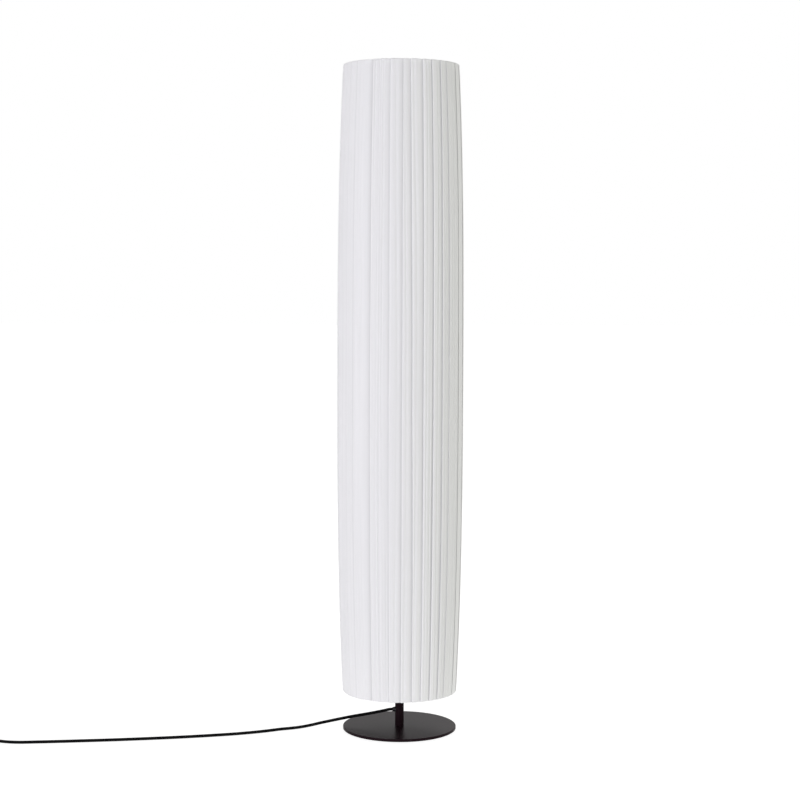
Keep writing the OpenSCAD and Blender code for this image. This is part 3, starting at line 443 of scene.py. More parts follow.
# Two numbers on the points: how much painted shade of the tuck and painted highlight of a fold's edge.
tuck = weave.node("ShaderNodeAttribute", {"attribute_name": "tuck"}, output="Fac")
painted_crest_highlight = weave.node("ShaderNodeAttribute", {"attribute_name": "painted_crest_highlight"}, output="Fac")
weave_colour = weave.blend(streaks, grey(DULL_STREAK), grey(PALE_STREAK))
with_painted_highlight = weave.blend(painted_crest_highlight, weave_colour, grey(PAINTED_HIGHLIGHT_GREY))
weave.fill(
    base_color=weave.blend(tuck, with_painted_highlight, grey(PAINTED_SHADE_GREY)),
    normal=weave.bump(threads * WEAVE_SHARE + streaks, 0.12 * MM, 0.5),
)

# %% [markdown]
# ## The pleated shade
# Knife pleats all fold one way. Seen from above, the cloth runs along the outside, sinks, slips under
# the next fold, turns back under it and comes out again as that fold's edge. So the piece starts as a
# flat grid, the cut cloth, and every point of it is moved to its place on that S-shaped section and on
# the barrel's outline. The wires inside hold the barrel. Both ends turn in over their rings, where the
# folds are pressed flat. A cloth simulation could drape the pleats, but placed points put each fold
# where the picture has it.

# %% The section of one pleat
PLEATS = 36
FIRST_FOLD = -88.0
PITCH = 360.0 / PLEATS
FACE_FROM, FACE_TO, FACE_POINTS, FACE_SINK = 0.14, 0.965, 20, 3.7
EDGE = [(0.000, 1.25), (0.010, 0.85), (0.030, 0.50), (0.060, 0.22), (0.095, 0.06)]
FACE = [(t, FACE_SINK * (t - FACE_FROM) ** 2) for t in np.linspace(FACE_FROM, FACE_TO, FACE_POINTS)]
TUCK = [(1.020, 2.68), (1.070, 2.76), (1.115, 2.78), (1.130, 2.50), (1.090, 1.95)]
SECTION = np.array(EDGE + FACE + TUCK)
VISIBLE_POINTS = len(EDGE) + len(FACE)
BARREL_END_R, BARREL_MIDDLE_R, BARREL_POWER = 104 * MM, 114 * MM, 2.8
SHADE_LOW, SHADE_HIGH = 71 * MM, 1200 * MM


def barrel(z):
    """The radius over the folds at a height."""
    middle, half = (SHADE_LOW + SHADE_HIGH) / 2, (SHADE_HIGH - SHADE_LOW) / 2
    t = min(1.0, abs(z - middle) / half)
    return BARREL_END_R + (BARREL_MIDDLE_R - BARREL_END_R) * (1 - t**BARREL_POWER)


print("points across a pleat:", len(SECTION))

# %% The outline from the turned-in lower end to the upper one
TURN_IN = [(96.3, 13), (96.2, 6), (96.4, 2.8), (97.1, 1.0), (98.6, 0.35), (101.0, 0.3),
           (102.7, 0.4), (103.5, 1.0), (103.8, 2.4), (103.95, 7)]
END_RELIEF = (0.3, 0.3, 0.3, 0.3, 0.3, 0.3, 0.35, 0.45, 0.62, 0.85)
ROWS_BETWEEN = 23
FIRST_ROW_UP = 18 * MM
turn_in = np.array(TURN_IN) * MM
heights = np.linspace(SHADE_LOW + FIRST_ROW_UP, SHADE_HIGH - FIRST_ROW_UP, ROWS_BETWEEN)
outline = [(r, SHADE_LOW + h) for r, h in turn_in]
outline += [(barrel(z), z) for z in heights]
outline += [(r, SHADE_HIGH - h) for r, h in reversed(turn_in)]
outline = np.array(outline)
slope = np.gradient(outline, axis=0)
slope /= np.linalg.norm(slope, axis=1)[:, None]
outwards = np.stack([slope[:, 1], -slope[:, 0]], axis=1)
relief_at = np.ones(len(outline))
relief_at[: len(turn_in)] = END_RELIEF
relief_at[-len(turn_in):] = END_RELIEF[::-1]
print("rows up the shade:", len(outline))

# %% [markdown]
# ## Pleats that differ
# No two pressed pleats are the same. Those in the picture have places and depths read from it, counted
# from the fold at the middle of the front. Those round the back get theirs from a random generator with
# a fixed seed. Slow waves keep the folds from being ruler-straight, and a few small creases run along
# each face.

# %% How each pleat differs
SEED = 11
FOLD_SHIFT = {-8: -2.0, -7: -4.5, -6: -7.0, -5: -9.0, -4: -9.5, -3: 0.3, -2: -1.0, -1: -2.2, 0: -0.4,
              1: -1.2, 2: -0.8, 3: -1.0, 4: -1.1, 5: -2.7, 6: -4.1, 7: -6.3, 8: -2.0, 9: -1.0, 10: -1.0}
FOLD_LEAN = {0: 1.0, 1: -3.2, 4: 0.6}
FOLD_DEPTH = {-7: 0.5, -6: 0.5, -5: 0.35, -4: 1.0, -3: 0.3, -2: 0.65, -1: 0.75, 0: 0.9, 1: 0.9, 2: 1.0,
              3: 0.85, 4: 0.5, 5: 0.25, 6: 0.5, 7: 0.5, 8: 0.6}
SHIFT_SPREAD, DEPTH_RANGE = 0.7, (0.6, 0.95)
rng = np.random.default_rng(SEED)
fold_place, fold_depth, fold_lean = [], [], []
for k in range(PLEATS):
    near = k if k <= PLEATS // 2 else k - PLEATS
    shift = rng.uniform(-SHIFT_SPREAD, SHIFT_SPREAD)
    fold_place.append(FIRST_FOLD + k * PITCH + FOLD_SHIFT.get(near, shift))
    fold_depth.append(FOLD_DEPTH.get(near, rng.uniform(*DEPTH_RANGE)))
    fold_lean.append(FOLD_LEAN.get(near, 0.0))
WAVES = np.array([1.0, 2.0, 3.4, 5.3])
WAVE_SIZES = np.array([1.0, 0.7, 0.45, 0.3])
fold_phase = rng.uniform(0, 2 * math.pi, (PLEATS, len(WAVES)))
swell_phase = rng.uniform(0, 2 * math.pi, (PLEATS, len(WAVES)))
crease_phase = rng.uniform(0, 2 * math.pi, (PLEATS, 3))
crease_count = rng.uniform(1.6, 3.0, PLEATS)
crease_depth = rng.uniform(0.5, 0.85, PLEATS)


def wander(phases, up):
    """A slow wave up the shade, from about -1 to 1."""
    return float((WAVE_SIZES * np.sin(2 * math.pi * WAVES * up + phases)).sum() / WAVE_SIZES.sum())


print("pleats:", PLEATS)

# %% Pleat the cloth
FOLD_WANDER = 0.22
DEEPEST = 2.85
columns = PLEATS * len(SECTION)
bpy.ops.object.select_all(action="DESELECT")
bpy.ops.mesh.primitive_grid_add(x_subdivisions=columns, y_subdivisions=len(outline) - 1, size=1.0)
shade = bpy.context.object
shade.name = "shade_cloth"
flat = np.empty(len(shade.data.vertices) * 3)
shade.data.vertices.foreach_get("co", flat)
flat = flat.reshape(-1, 3)
column_of = np.rint((flat[:, 0] + 0.5) * columns).astype(int)
row_of = np.rint((flat[:, 1] + 0.5) * (len(outline) - 1)).astype(int)
ups = (outline[:, 1] - SHADE_LOW) / (SHADE_HIGH - SHADE_LOW)
fold_at = np.empty((len(ups), PLEATS + 1))
for row, up in enumerate(ups):
    for k in range(PLEATS):
        lean = fold_lean[k] * (up - 0.5)
        fold_at[row, k] = fold_place[k] + lean + FOLD_WANDER * wander(fold_phase[k], up)
fold_at[:, PLEATS] = fold_at[:, 0] + 360.0
swell = np.array([[wander(swell_phase[k], up) for k in range(PLEATS)] for up in ups])
print("cut cloth:", len(flat), "points")

# %% Where each point of the cloth goes
SHALLOW_REACH = 1.6
SWELL_OF_FOLD, SAG_OF_FACE, SWELL_OF_FACE, LIFT_OF_FACE = 0.1, 0.10, 0.20, 0.12
SWAY, SWAY_RATE = 1.3, 5
WIDE_CREASE, NARROW_CREASE, NARROWER, LAG = 0.62, 0.38, 1.7, 1.0
ROUND_SHARE, SHARP_SHARE = 0.75, 0.25
STEADY, FADING, FADE_RATE = 0.7, 0.3, 9
# Where the painted shade of the tuck starts and how it grows, and where the painted highlight of a
# fold's edge lies.
TUCK_FROM, TUCK_OVER, TUCK_POWER = 0.72, 0.26, 1.5
CREST_AT, CREST_REACH = 0.035, 0.075


def small_creases(k, t, up):
    """How much a pleat's small creases sink a point, before their own depth."""
    bend = crease_phase[k, 0] + SWAY * math.sin(SWAY_RATE * up + crease_phase[k, 1])
    along = 2 * math.pi * crease_count[k] * t + bend
    crease = WIDE_CREASE * math.sin(along) + NARROW_CREASE * math.sin(NARROWER * along + LAG)
    pointed = ROUND_SHARE * crease + SHARP_SHARE * crease**3
    strength = STEADY + FADING * math.sin(FADE_RATE * up + crease_phase[k, 2])
    return 1 + pointed * strength


def cloth_point(column, row):
    """A point's place on the shade, and how much painted shade and painted highlight its colour gets.
    """
    k, j = divmod(int(column), len(SECTION))
    full_turn = 0.0
    if k == PLEATS:
        k, j, full_turn = 0, 0, 360.0
    t, sunk = SECTION[j]
    left, right = fold_at[row, k], fold_at[row, k + 1]
    if t > 1:
        t = 1 + (t - 1) * min(1.0, SHALLOW_REACH * fold_depth[k])
    angle = math.radians(left + t * (right - left) + full_turn)
    depth = sunk * fold_depth[k] * (1 + SWELL_OF_FOLD * swell[row, k])
    if 0 < j < VISIBLE_POINTS:
        over = math.sin(math.pi * t)
        depth += over * (SAG_OF_FACE + SWELL_OF_FACE * swell[row, k])
        creases = math.sqrt(over) * crease_depth[k] * small_creases(k, t, ups[row])
        depth += creases - LIFT_OF_FACE * over
    depth = min(depth, DEEPEST) * MM * relief_at[row]
    r = outline[row, 0] - depth * outwards[row, 0]
    z = outline[row, 1] - depth * outwards[row, 1]
    # Painted shade deepens into the tuck, and a painted highlight lies along the fold's edge.
    in_tuck = min(1.0, max(0.0, (t - TUCK_FROM) / TUCK_OVER)) ** TUCK_POWER * fold_depth[k]
    crest_highlight_share = max(0.0, 1.0 - abs(t - CREST_AT) / CREST_REACH) * fold_depth[k - 1]
    return r * math.cos(angle), r * math.sin(angle), z, in_tuck, crest_highlight_share


placed = np.array([cloth_point(c, r) for c, r in zip(column_of, row_of)])
shade.data.vertices.foreach_set("co", placed[:, :3].ravel())
# The two shares are kept on the points, for the painted shade and painted highlight in the cloth's
# colour.
for name, values in (("tuck", placed[:, 3]), ("painted_crest_highlight", placed[:, 4])):
    shade.data.attributes.new(name, "FLOAT", "POINT").data.foreach_set("value", values.copy())
shade.data.uv_layers[0].name = "cut"
shade.data.update()
print("cloth placed, up to", round(float(placed[:, 2].max()), 4), "m above the floor")

# %% [markdown]
# ## Seam and thickness
# The cut cloth meets itself in the first fold, where its points are merged, as a real seam is hidden in
# a fold. Then the sheet gets the thickness of cloth, so that it is a solid piece with two sides.

# %% Close the seam and thicken the cloth
CLOTH_T = 0.35 * MM
SEAM_MERGE = 0.02 * MM
bpy.ops.object.mode_set(mode="EDIT")
bpy.ops.mesh.select_mode(type="VERT")
bpy.ops.mesh.select_all(action="DESELECT")
edit = bmesh.from_edit_mesh(shade.data)
for point, column in zip(edit.verts, column_of.tolist()):
    point.select_set(column % columns == 0)
bmesh.update_edit_mesh(shade.data)
bpy.ops.mesh.remove_doubles(threshold=SEAM_MERGE)
bpy.ops.mesh.select_all(action="SELECT")
bpy.ops.mesh.normals_make_consistent(inside=False)
bpy.ops.object.mode_set(mode="OBJECT")
thick = shade.modifiers.new("thick", "SOLIDIFY")
thick.thickness, thick.offset = CLOTH_T, 0.0
bpy.ops.object.modifier_apply(modifier="thick")
bpy.ops.object.shade_smooth()
shade.data.materials.clear()
shade.data.materials.append(weave.material)
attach(shade, "lamp")
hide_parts("shade_fabric", "top_hem", "bottom_hem")
print("shade:", len(shade.data.polygons), "faces")

# %% [markdown]
# ## Finishes of the metal and plastic pieces
# Pole and plate are powder coated: black powder baked to a fine, slightly uneven skin. The wires are
# painted, screws and caps are plated, and the plastics come out of a mould with a faint grain. Pictures
# of such surfaces could be laid on, but a noise at the real scale needs no flat map and stays sharp
# close to the piece.

# %% Powder coat
coat = Finish("black_powder_coat", specular_ior_level=0.031, specular_tint=(1.0, 0.84, 0.90))
coat_grain = coat.noise(coat.place(), 1400.0, 3.0, 0.6)
coat_cloud = coat.noise(coat.place(), 9.0, 2.0)
coat.fill(
    base_color=coat.blend(coat_cloud, (0.011, 0.0055, 0.0075), (0.015, 0.0075, 0.010)),
    roughness=0.30 + 0.08 * coat_grain,
    normal=coat.bump(coat_grain, 0.05 * MM, 0.35),
)

# %% Painted wire
paint = Finish("white_painted_wire")
paint_grain = paint.noise(paint.place(), 900.0)
paint.fill(
    base_color=paint.blend(paint_grain, (0.76, 0.76, 0.745), (0.82, 0.82, 0.81)),
    roughness=0.36 + 0.1 * paint_grain,
    normal=paint.bump(paint_grain, 0.04 * MM, 0.3),
)

# %% Metals
def plated(name, dark, light, rough, scale):
    """A plated metal with a faint grain."""
    finish = Finish(name, metallic=1.0)
    grain = finish.noise(finish.place(), scale, 3.0)
    finish.fill(
        base_color=finish.blend(grain, dark, light),
        roughness=rough + 0.12 * grain,
        normal=finish.bump(grain, 0.02 * MM, 0.25),
    )
    return finish


zinc = plated("zinc_plate", (0.50, 0.51, 0.54), (0.64, 0.65, 0.68), 0.28, 700.0)
nickel = plated("nickel_plate", (0.66, 0.64, 0.60), (0.78, 0.76, 0.73), 0.12, 300.0)
brass = plated("plain_brass", (0.60, 0.43, 0.17), (0.76, 0.57, 0.26), 0.25, 500.0)
spun = plated("spun_aluminium", (0.62, 0.63, 0.64), (0.74, 0.75, 0.76), 0.30, 600.0)

# %% Plastics and felt
def moulded(name, dark, light, rough, scale, depth):
    """A moulded or pressed stuff with a fine even grain."""
    finish = Finish(name)
    grain = finish.noise(finish.place(), scale, 3.0, 0.6)
    finish.fill(
        base_color=finish.blend(grain, dark, light),
        roughness=rough + 0.1 * grain,
        normal=finish.bump(grain, depth, 0.4),
    )
    return finish


PLASTIC_DARK, PLASTIC_LIGHT = (0.007, 0.007, 0.008), (0.014, 0.014, 0.015)
black_plastic = moulded("black_plastic", PLASTIC_DARK, PLASTIC_LIGHT, 0.42, 1600.0, 0.05 * MM)
black_plastic.fill(specular_ior_level=0.2)
white_plastic = moulded("white_plastic", (0.82, 0.82, 0.81), (0.87, 0.87, 0.86), 0.22, 500.0, 0.01 * MM)
cream = moulded("cream_insulator", (0.72, 0.68, 0.59), (0.80, 0.76, 0.67), 0.55, 900.0, 0.04 * MM)
opal = moulded("opal_globe", (0.90, 0.89, 0.86), (0.94, 0.93, 0.90), 0.30, 200.0, 0.01 * MM)
lead_skin = moulded("lead_insulation", (0.19, 0.10, 0.05), (0.26, 0.14, 0.07), 0.35, 700.0, 0.02 * MM)
tape = moulded("loop_tape", (0.020, 0.020, 0.022), (0.055, 0.055, 0.06), 0.85, 2600.0, 0.3 * MM)
felt = moulded("dark_felt", (0.018, 0.018, 0.020), (0.045, 0.045, 0.048), 0.95, 1800.0, 0.5 * MM)

# %% [markdown]
# ## Settling a piece
# A finished piece needs four things: its finish, the body that it moves with, the slot that names its
# finish in the record, and the node that it stands for. The record already says all of them for each
# node, so one function looks them up.

# %% What belongs to each node
BODY_OF = {
    node: body for body, members in frame["record"]["behaviour"]["bodies"].items() for node in members
}
SLOT_OF = {part["node"]: part["material_slot"] for part in frame["record"]["subparts"]}
SLOT_FINISH = {
    "white_wire": paint, "black_powder_coat": coat, "zinc_steel": zinc, "nickel_plate": nickel,
    "black_plastic": black_plastic, "cream_insulator": cream, "brass": brass, "bulb_cap_metal": spun,
    "white_plastic": white_plastic, "opal_globe": opal, "lead_insulation": lead_skin,
    "tie_tape": tape, "dark_felt": felt,
}
print("finishes for slots:", len(SLOT_FINISH))
dressed = {}


def settle(piece, node):
    """Lets a new piece stand for a node, on its body, in its slot and with its finish."""
    piece.data.materials.clear()
    piece.data.materials.append(SLOT_FINISH[SLOT_OF[node]].material)
    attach(piece, BODY_OF[node])
    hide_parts(node)
    dressed[node] = piece
    return piece


# %% [markdown]
# ## Steps that come back
# Most pieces are shaped by the same few steps: choose the piece, merge its doubled points, turn its
# faces outwards, apply a modifier. Each step is one small function.

# %% Small steps
SAME_POINT = 0.002 * MM
SHARP = 25.0


def only(piece):
    """Makes a piece the one that the next operators act on."""
    bpy.ops.object.select_all(action="DESELECT")
    piece.select_set(True)
    bpy.context.view_layer.objects.active = piece


def closed(piece):
    """Merges doubled points and turns the faces outwards."""
    only(piece)
    bpy.ops.object.mode_set(mode="EDIT")
    bpy.ops.mesh.select_all(action="SELECT")
    bpy.ops.mesh.remove_doubles(threshold=SAME_POINT)
    bpy.ops.mesh.normals_make_consistent(inside=False)
    bpy.ops.object.mode_set(mode="OBJECT")
    return piece


def apply_step(piece, kind, **settings):
    """Applies one modifier to a piece."""
    only(piece)
    step = piece.modifiers.new("step", kind)
    for key, value in settings.items():
        setattr(step, key, value)
    bpy.ops.object.modifier_apply(modifier="step")
    return piece


def smooth(piece):
    """Shades a piece smoothly, and lets its large flat faces keep their own direction."""
    only(piece)
    bpy.ops.object.shade_smooth_by_angle(angle=math.radians(40))
    return apply_step(piece, "WEIGHTED_NORMAL", keep_sharp=True)


def rounded(piece, width, segments=2, sharper_than=SHARP):
    """Rounds the edges that are sharper than a limit, and shades the rest smoothly."""
    apply_step(
        piece, "BEVEL", width=width, segments=segments, limit_method="ANGLE",
        angle_limit=math.radians(sharper_than), use_clamp_overlap=True, miter_outer="MITER_ARC",
    )
    return smooth(piece)


# %% [markdown]
# ## The lathe
# Round pieces are turned: their half section is drawn point by point, by extruding one point along the
# outline, and spun round the upright axis. Then the piece is laid where it belongs.

# %% Draw and turn
def drawn_line(name, points):
    """A piece whose edges run from point to point, in millimetres."""
    bpy.ops.object.select_all(action="DESELECT")
    bpy.ops.mesh.primitive_plane_add(size=MM)
    piece = bpy.context.object
    piece.name = name
    bpy.ops.object.mode_set(mode="EDIT")
    bpy.ops.mesh.select_mode(type="VERT")
    bpy.ops.mesh.select_all(action="SELECT")
    bpy.ops.mesh.merge(type="CENTER")
    bpy.ops.transform.translate(value=tuple(c * MM for c in points[0]))
    for here, there in zip(points, points[1:]):
        step = tuple((b - a) * MM for a, b in zip(here, there))
        bpy.ops.mesh.extrude_vertices_move(TRANSFORM_OT_translate={"value": step})
    bpy.ops.object.mode_set(mode="OBJECT")
    return piece


def turned(name, section, steps, place):
    """A half section of (radius, height) points in millimetres, spun and put in its place."""
    piece = drawn_line(name, [(r, 0.0, z) for r, z in section])
    only(piece)
    bpy.ops.object.mode_set(mode="EDIT")
    bpy.ops.mesh.select_all(action="SELECT")
    bpy.ops.mesh.spin(steps=steps, angle=2 * math.pi, center=(0, 0, 0), axis=(0, 0, 1))
    bpy.ops.object.mode_set(mode="OBJECT")
    closed(piece)
    piece.data.transform(place)
    print(name, "turned,", len(piece.data.polygons), "faces")
    return smooth(piece)


# %% [markdown]
# ## Ribs and leads
# Six wires stand in the folds from ring to ring. They were rolled to the barrel, so they follow it
# without a kink. The two leads in brown insulation run up inside the pole, come out through a grommet
# and go up into the lampholder.

# %% Ribs rolled to the barrel
RIB_R = 1.5 * MM
RIB_SINK = 4.6 * MM
RIB_LOW, RIB_HIGH = 77.3 * MM, 1193.7 * MM
RIB_FIRST = -78.8
RIBS, RIB_STEPS = 6, 60
END_TUCK, END_REACH = 0.3 * MM, 15 * MM
for k in range(RIBS):
    angle = math.radians(RIB_FIRST + 360.0 / RIBS * k)
    rib_line = []
    for z in np.linspace(RIB_LOW, RIB_HIGH, RIB_STEPS + 1):
        to_end = min(z - RIB_LOW, RIB_HIGH - z)
        r = barrel(z) - RIB_SINK - END_TUCK * math.exp(-to_end / END_REACH)
        rib_line.append((r * math.cos(angle), r * math.sin(angle), z))
    settle(tube(f"rolled_rib_{k + 1}", rib_line, RIB_R, 14), f"rib_{k + 1}")
print("ribs:", RIBS)

# %% Leads
LEAD_R, LEAD_STEP = 1.3, 2.5
GLAND_Z, MIDDLE_X, SIDE_Y = 35, 0.5, 1.4
GROMMET_DOWN, HOLDER_X = 22, 42
for node, lamp_z, out, y in (("lower_lead", 250, 1, SIDE_Y), ("upper_lead", 815, -1, -SIDE_Y)):
    out_z = lamp_z - GROMMET_DOWN
    lead_line = handled(
        (-4.5, y, GLAND_Z), (-1, y, GLAND_Z),
        (MIDDLE_X, y, GLAND_Z + 1.5), (MIDDLE_X, y, GLAND_Z + 6), 12,
    )
    lead_line += handled(
        (MIDDLE_X, y, lamp_z - 60), (MIDDLE_X, y, lamp_z - 35),
        (out * 1.4, y, out_z), (out * 6, 0, out_z), 16,
    )
    lead_line += handled(
        (out * 9.5, 0, out_z), (out * 34, 0, out_z),
        (out * HOLDER_X, 0, out_z - 2), (out * HOLDER_X, 0, lamp_z - 4), 20,
    )
    settle(tube("smooth_" + node, evened(lead_line, LEAD_STEP) * MM, LEAD_R * MM, 12), node)
    print(node, "with", len(lead_line), "points")

# %% [markdown]
# ## Felt
# A ring of dark felt keeps the plate off the floor. It is punched from a sheet, so its edges are soft
# but upright. Hairs could be grown on it, but its bump already shows as much as any view does.

# %% Felt ring
FELT_SECTION = [
    (20.0, 0.2), (20.2, 0.0), (45.0, 0.0), (72.0, 0.0), (97.7, 0.0), (98.0, 0.25), (98.0, 0.75),
    (97.7, 1.0), (72.0, 1.0), (45.0, 1.0), (20.2, 1.0), (20.0, 0.8), (20.0, 0.2),
]
settle(turned("felt_ring", FELT_SECTION, 144, Matrix.Identity(4)), "base_felt")

# %% [markdown]
# ## Closed nut
# The nut on top of the shade is turned from bar and plated. Fingers tighten it, so its wall is knurled:
# every fourth column of points on the wall is pushed in a little.

# %% Knurled nut
NUT_Z = 1182.5
NUT_R, NUT_H, NUT_CROWN = 9.0, 11.5, 18.0
nut_section = [(0.0, 8.6), (5.0, 8.6), (5.0, 0.0), (8.7, 0.0), (9.0, 0.3), (9.0, 1.4), (8.8, 1.6),
               (8.8, 1.8), (9.0, 2.0), (9.0, 7.4), (8.8, 7.6), (8.8, 7.8), (9.0, 8.0), (9.0, 8.8)]
nut_section += [
    (r, NUT_H - NUT_CROWN + math.sqrt(NUT_CROWN**2 - r * r)) for r in np.linspace(8.75, 0.0, 12)
]
KNURL_DEPTH = 0.28 * MM
KNURL_LOW, KNURL_HIGH = 1.9, 7.5
NUT_COLUMNS, EVERY = 288, 4
nut = turned("knurled_nut", nut_section, NUT_COLUMNS, Matrix.Translation((0, 0, NUT_Z * MM)))
for point in nut.data.vertices:
    radius = math.hypot(point.co.x, point.co.y)
    column = round(math.degrees(math.atan2(point.co.y, point.co.x)) / (360.0 / NUT_COLUMNS))
    on_wall = radius > (NUT_R - 0.05) * MM and KNURL_LOW < point.co.z / MM - NUT_Z < KNURL_HIGH
    if on_wall and column % EVERY == 0:
        point.co.xy *= (radius - KNURL_DEPTH) / radius
settle(nut, "cap_nut")

# %% [markdown]
# ## Foot switch
# A foot finds the button by its dome and its three rings. Under it a coil spring pushes it back, so the
# spring is a tube along a helix.

# %% Button
SWITCH_PLACE = Matrix.Translation(tuple(SWITCH))
BUTTON_TOP, BUTTON_CROWN = 26.0, 48.0
RING_RADII = (4.2, 6.4, 8.6)
GROOVE = ((0.0, 0.0), (0.12, 0.25), (0.35, 0.4), (0.65, 0.4), (0.88, 0.25), (1.0, 0.0))


def crown(r, sunk=0.0):
    """A point of the button's dome."""
    return r, BUTTON_TOP - sunk - BUTTON_CROWN + math.sqrt(BUTTON_CROWN**2 - r * r)


button_section = [crown(0.0), crown(1.5), crown(3.0)]
for r in RING_RADII:
    button_section += [crown(r + outer, sunk) for outer, sunk in GROOVE]
button_section += [crown(10.6), crown(11.3), crown(11.7, 0.12), crown(11.93, 0.4), (12.0, 23.8)]
button_section += [(12.0, 18.4), (14.0, 18.4), (14.0, 16.9), (10.0, 16.9), (10.0, 23.0), (0.0, 23.0)]
settle(turned("ringed_button", button_section, 96, SWITCH_PLACE), "switch_button")

# %% Spring
SPRING_LOW, SPRING_HIGH, SPRING_R, SPRING_COILS = 3.1, 22.3, 7.0, 5
SPRING_WIRE_R = 0.6 * MM
turns = np.linspace(0.0, 1.0, SPRING_COILS * 32 + 1)
spring_line = [
    SWITCH + MM * np.array([
        SPRING_R * math.cos(2 * math.pi * SPRING_COILS * t),
        SPRING_R * math.sin(2 * math.pi * SPRING_COILS * t),
        SPRING_LOW + (SPRING_HIGH - SPRING_LOW) * t,
    ])
    for t in turns
]
spring = settle(tube("button_coil", spring_line, SPRING_WIRE_R, 10), "switch_spring")
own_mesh(spring)
print("spring:", SPRING_COILS, "coils")

# %% [markdown]
# ## Plug
# The plug is one moulding: a block to hold, a waist behind it and a ribbed tail that bends with the
# cord. The block starts as a cube whose back is drawn out and made smaller. Its rounding stays just
# under half the waist's length, because wider bevels would meet there. Finger ribs and the tail are
# joined by Boolean unions. A small hole that a union may leave is filled, so that the moulding is one
# closed skin.

# %% Block of the plug
PLUG = np.array([-815.0, -42.0, 6.85])
PLUG_TAIL_L, PLUG_L, BLOCK_L, WAIST_L = 18.0, 38.0, 24.0, 3.0
BLOCK_W, BLOCK_H, WAIST_W, WAIST_H = 35.3, 13.7, 19.0, 12.0
TAPER_L = PLUG_L - BLOCK_L - WAIST_L
PLUG_ROUND = 1.48
bpy.ops.object.select_all(action="DESELECT")
block_middle = PLUG + np.array([PLUG_TAIL_L + PLUG_L - BLOCK_L / 2, 0, 0])
bpy.ops.mesh.primitive_cube_add(size=1.0)
plug = bpy.context.object
plug.name = "moulded_plug"
block_size = Matrix.Diagonal((BLOCK_L * MM, BLOCK_W * MM, BLOCK_H * MM, 1))
plug.data.transform(Matrix.Translation(block_middle * MM) @ block_size)
only(plug)
bpy.ops.object.mode_set(mode="EDIT")
bpy.ops.mesh.select_all(action="DESELECT")
bpy.ops.mesh.select_mode(type="FACE")
edit = bmesh.from_edit_mesh(plug.data)
for face in edit.faces:
    face.select_set(face.normal.x < -0.9)
bmesh.update_edit_mesh(plug.data)
bpy.ops.mesh.extrude_region_move(TRANSFORM_OT_translate={"value": (-TAPER_L * MM, 0, 0)})
back = tuple(np.array([PLUG[0] + PLUG_TAIL_L + WAIST_L, PLUG[1], PLUG[2]]) * MM)
bpy.ops.transform.resize(value=(1.0, WAIST_W / BLOCK_W, WAIST_H / BLOCK_H), center_override=back)
bpy.ops.mesh.extrude_region_move(TRANSFORM_OT_translate={"value": (-WAIST_L * MM, 0, 0)})
bpy.ops.object.mode_set(mode="OBJECT")
closed(plug)
rounded(plug, PLUG_ROUND * MM, 5, 12.0)
print("block of the plug:", len(plug.data.polygons), "faces")


# %% Finger ribs and tail of the plug
def joined(piece, other):
    """The union of two closed pieces."""
    apply_step(piece, "BOOLEAN", operation="UNION", solver="EXACT", object=other)
    bpy.data.objects.remove(other)


FINGER_RIBS, FINGER_STEP, FINGER_OUT = 5, 3.5, 17.4
finger_size = Matrix.Diagonal((1.4 * MM, 1.8 * MM, 8.6 * MM, 1))
for side in (-1, 1):
    for k in range(FINGER_RIBS):
        bpy.ops.object.select_all(action="DESELECT")
        bpy.ops.mesh.primitive_cube_add(size=1.0)
        rib = bpy.context.object
        at = block_middle + np.array([FINGER_STEP * (k - 2), side * FINGER_OUT, 0.0])
        rib.data.transform(Matrix.Translation(at * MM) @ finger_size)
        rounded(rib, 0.6 * MM, 3)
        joined(plug, rib)
TAIL_RINGS, TAIL_STEP = 5, 3.0
TAIL_THIN, TAIL_GROWS = 3.55, 2.05
NOTCH = ((0.0, 0.0), (-0.55, 0.35), (-0.45, 1.2), (0.2, 1.55))
tail_section = [(0.0, 9.0), (2.85, 9.0), (2.85, 0.0), (3.35, 0.0), (3.6, 0.3)]
for k in range(TAIL_RINGS):
    low = 2.0 + TAIL_STEP * k
    girth = TAIL_THIN + TAIL_GROWS * low / PLUG_TAIL_L
    tail_section += [(girth + outer, low + up) for outer, up in NOTCH]
tail_section += [(5.5, 17.0), (5.6, 20.3), (0.0, 20.3)]
lay_down = Matrix.Translation(PLUG * MM) @ Matrix.Rotation(math.pi / 2, 4, "Y")
joined(plug, turned("ribbed_tail", tail_section, 48, lay_down))
bpy.ops.object.mode_set(mode="EDIT")
bpy.ops.mesh.select_all(action="SELECT")
bpy.ops.mesh.fill_holes(sides=4)
bpy.ops.object.mode_set(mode="OBJECT")
settle(smooth(plug), "plug_body")
print("plug:", len(plug.data.polygons), "faces")

# %% [markdown]
# ## Tie
# The coil is held by a short band of hook-and-loop tape. It goes once round the turns and its end lies
# on its start, a little lifted. The band is drawn as a line, pulled out to its width and thickened.

# %% Band of the tie
TIE_X, TIE_Y, TIE_W = -880.9, -80.5, 8.0
TIE_HALF, TIE_LOW, TIE_HIGH, TIE_BEND, TIE_T = 10.25, 0.4, 13.4, 2.35, 0.8
tie_line = [(-4.6, TIE_HIGH), (0.0, TIE_HIGH)]
bend_x, low_z, high_z = TIE_HALF - TIE_BEND, TIE_LOW + TIE_BEND, TIE_HIGH - TIE_BEND
corners = [(bend_x, high_z, 90), (bend_x, low_z, 0), (-bend_x, low_z, -90), (-bend_x, high_z, 180)]
for x, z, first in corners:
    for turn_by in range(0, 91, 15):
        at = math.radians(first - turn_by)
        tie_line.append((x + TIE_BEND * math.cos(at), z + TIE_BEND * math.sin(at)))
tie_line += [(-6.9, 13.6), (-5.8, 14.0), (-4.8, 14.25), (-2.0, 14.28), (2.0, 14.28), (5.6, 14.3),
             (7.2, 14.5), (8.4, 14.9)]
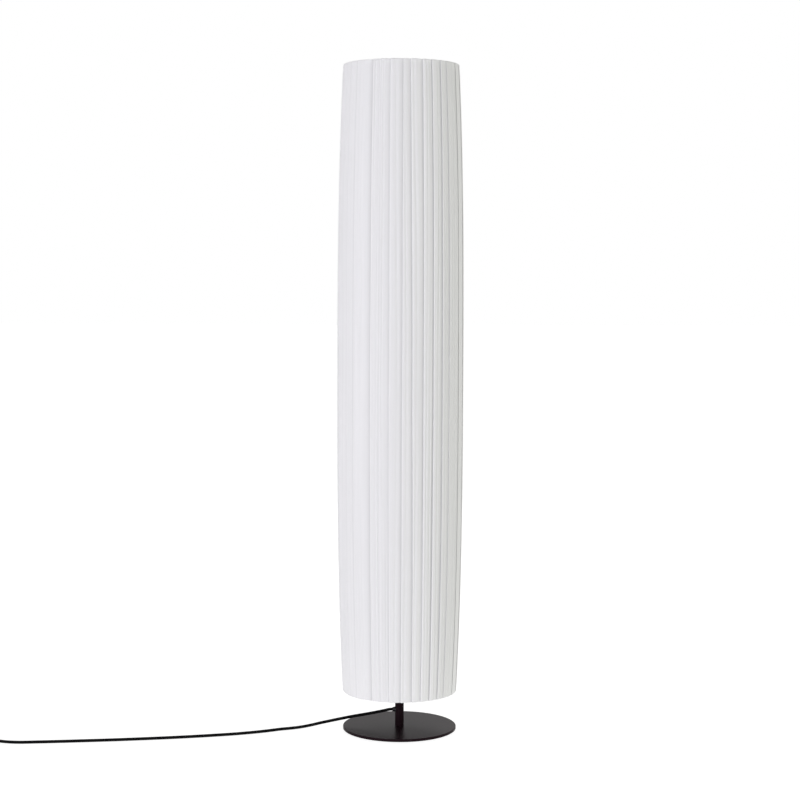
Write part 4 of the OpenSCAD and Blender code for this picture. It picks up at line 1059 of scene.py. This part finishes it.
tie = drawn_line("tape_tie", [(TIE_X + x, TIE_Y - TIE_W / 2, z) for x, z in tie_line])
only(tie)
bpy.ops.object.mode_set(mode="EDIT")
bpy.ops.mesh.select_all(action="SELECT")
bpy.ops.mesh.extrude_region_move(TRANSFORM_OT_translate={"value": (0, TIE_W * MM, 0)})
bpy.ops.mesh.select_all(action="SELECT")
bpy.ops.mesh.normals_make_consistent(inside=False)
bpy.ops.object.mode_set(mode="OBJECT")
apply_step(tie, "SOLIDIFY", thickness=TIE_T * MM, offset=0.0)
rounded(closed(tie), 0.15 * MM, 2, 50.0)
settle(tie, "coil_tie")
print("tie:", len(tie.data.polygons), "faces")

# %% [markdown]
# ## Rounded edges on all other pieces
# A drawn solid has edges like a knife and a real one has none: paint, plating and moulding round them.
# The carried-over meshes are loose triangles, so each is copied, its points are merged, its flat faces
# are joined, and a bevel rounds its edges. The switch's cover has a low limit, which makes its
# chamfers flow into each other.

# %% Softened copies
EDGE_ROUND = {
    "white_wire": 0.15, "black_powder_coat": 0.2, "zinc_steel": 0.15, "nickel_plate": 0.1,
    "black_plastic": 0.3, "cream_insulator": 0.2, "brass": 0.1, "bulb_cap_metal": 0.1,
    "white_plastic": 0.3, "opal_globe": 0.1,
}
ROUNDING = {"switch_cover": (1.4, 4, 8.0), "cord_gland": (0.4, 2, SHARP), "plug_pins": (0.1, 1, 50.0)}
SAME_PLANE = math.radians(0.6)
for node, slot in SLOT_OF.items():
    if slot not in EDGE_ROUND or node in dressed:
        continue
    copy = bpy.data.objects.new("soft_" + node, nodes[node].data.copy())
    scene.collection.objects.link(copy)
    only(copy)
    bpy.ops.object.mode_set(mode="EDIT")
    bpy.ops.mesh.select_all(action="SELECT")
    bpy.ops.mesh.remove_doubles(threshold=SAME_POINT)
    bpy.ops.mesh.dissolve_limited(angle_limit=SAME_PLANE)
    bpy.ops.object.mode_set(mode="OBJECT")
    width, segments, limit = ROUNDING.get(node, (EDGE_ROUND[slot], 2, SHARP))
    rounded(copy, width * MM, segments, limit)
    settle(copy, node)
print("pieces in their places:", len(dressed))
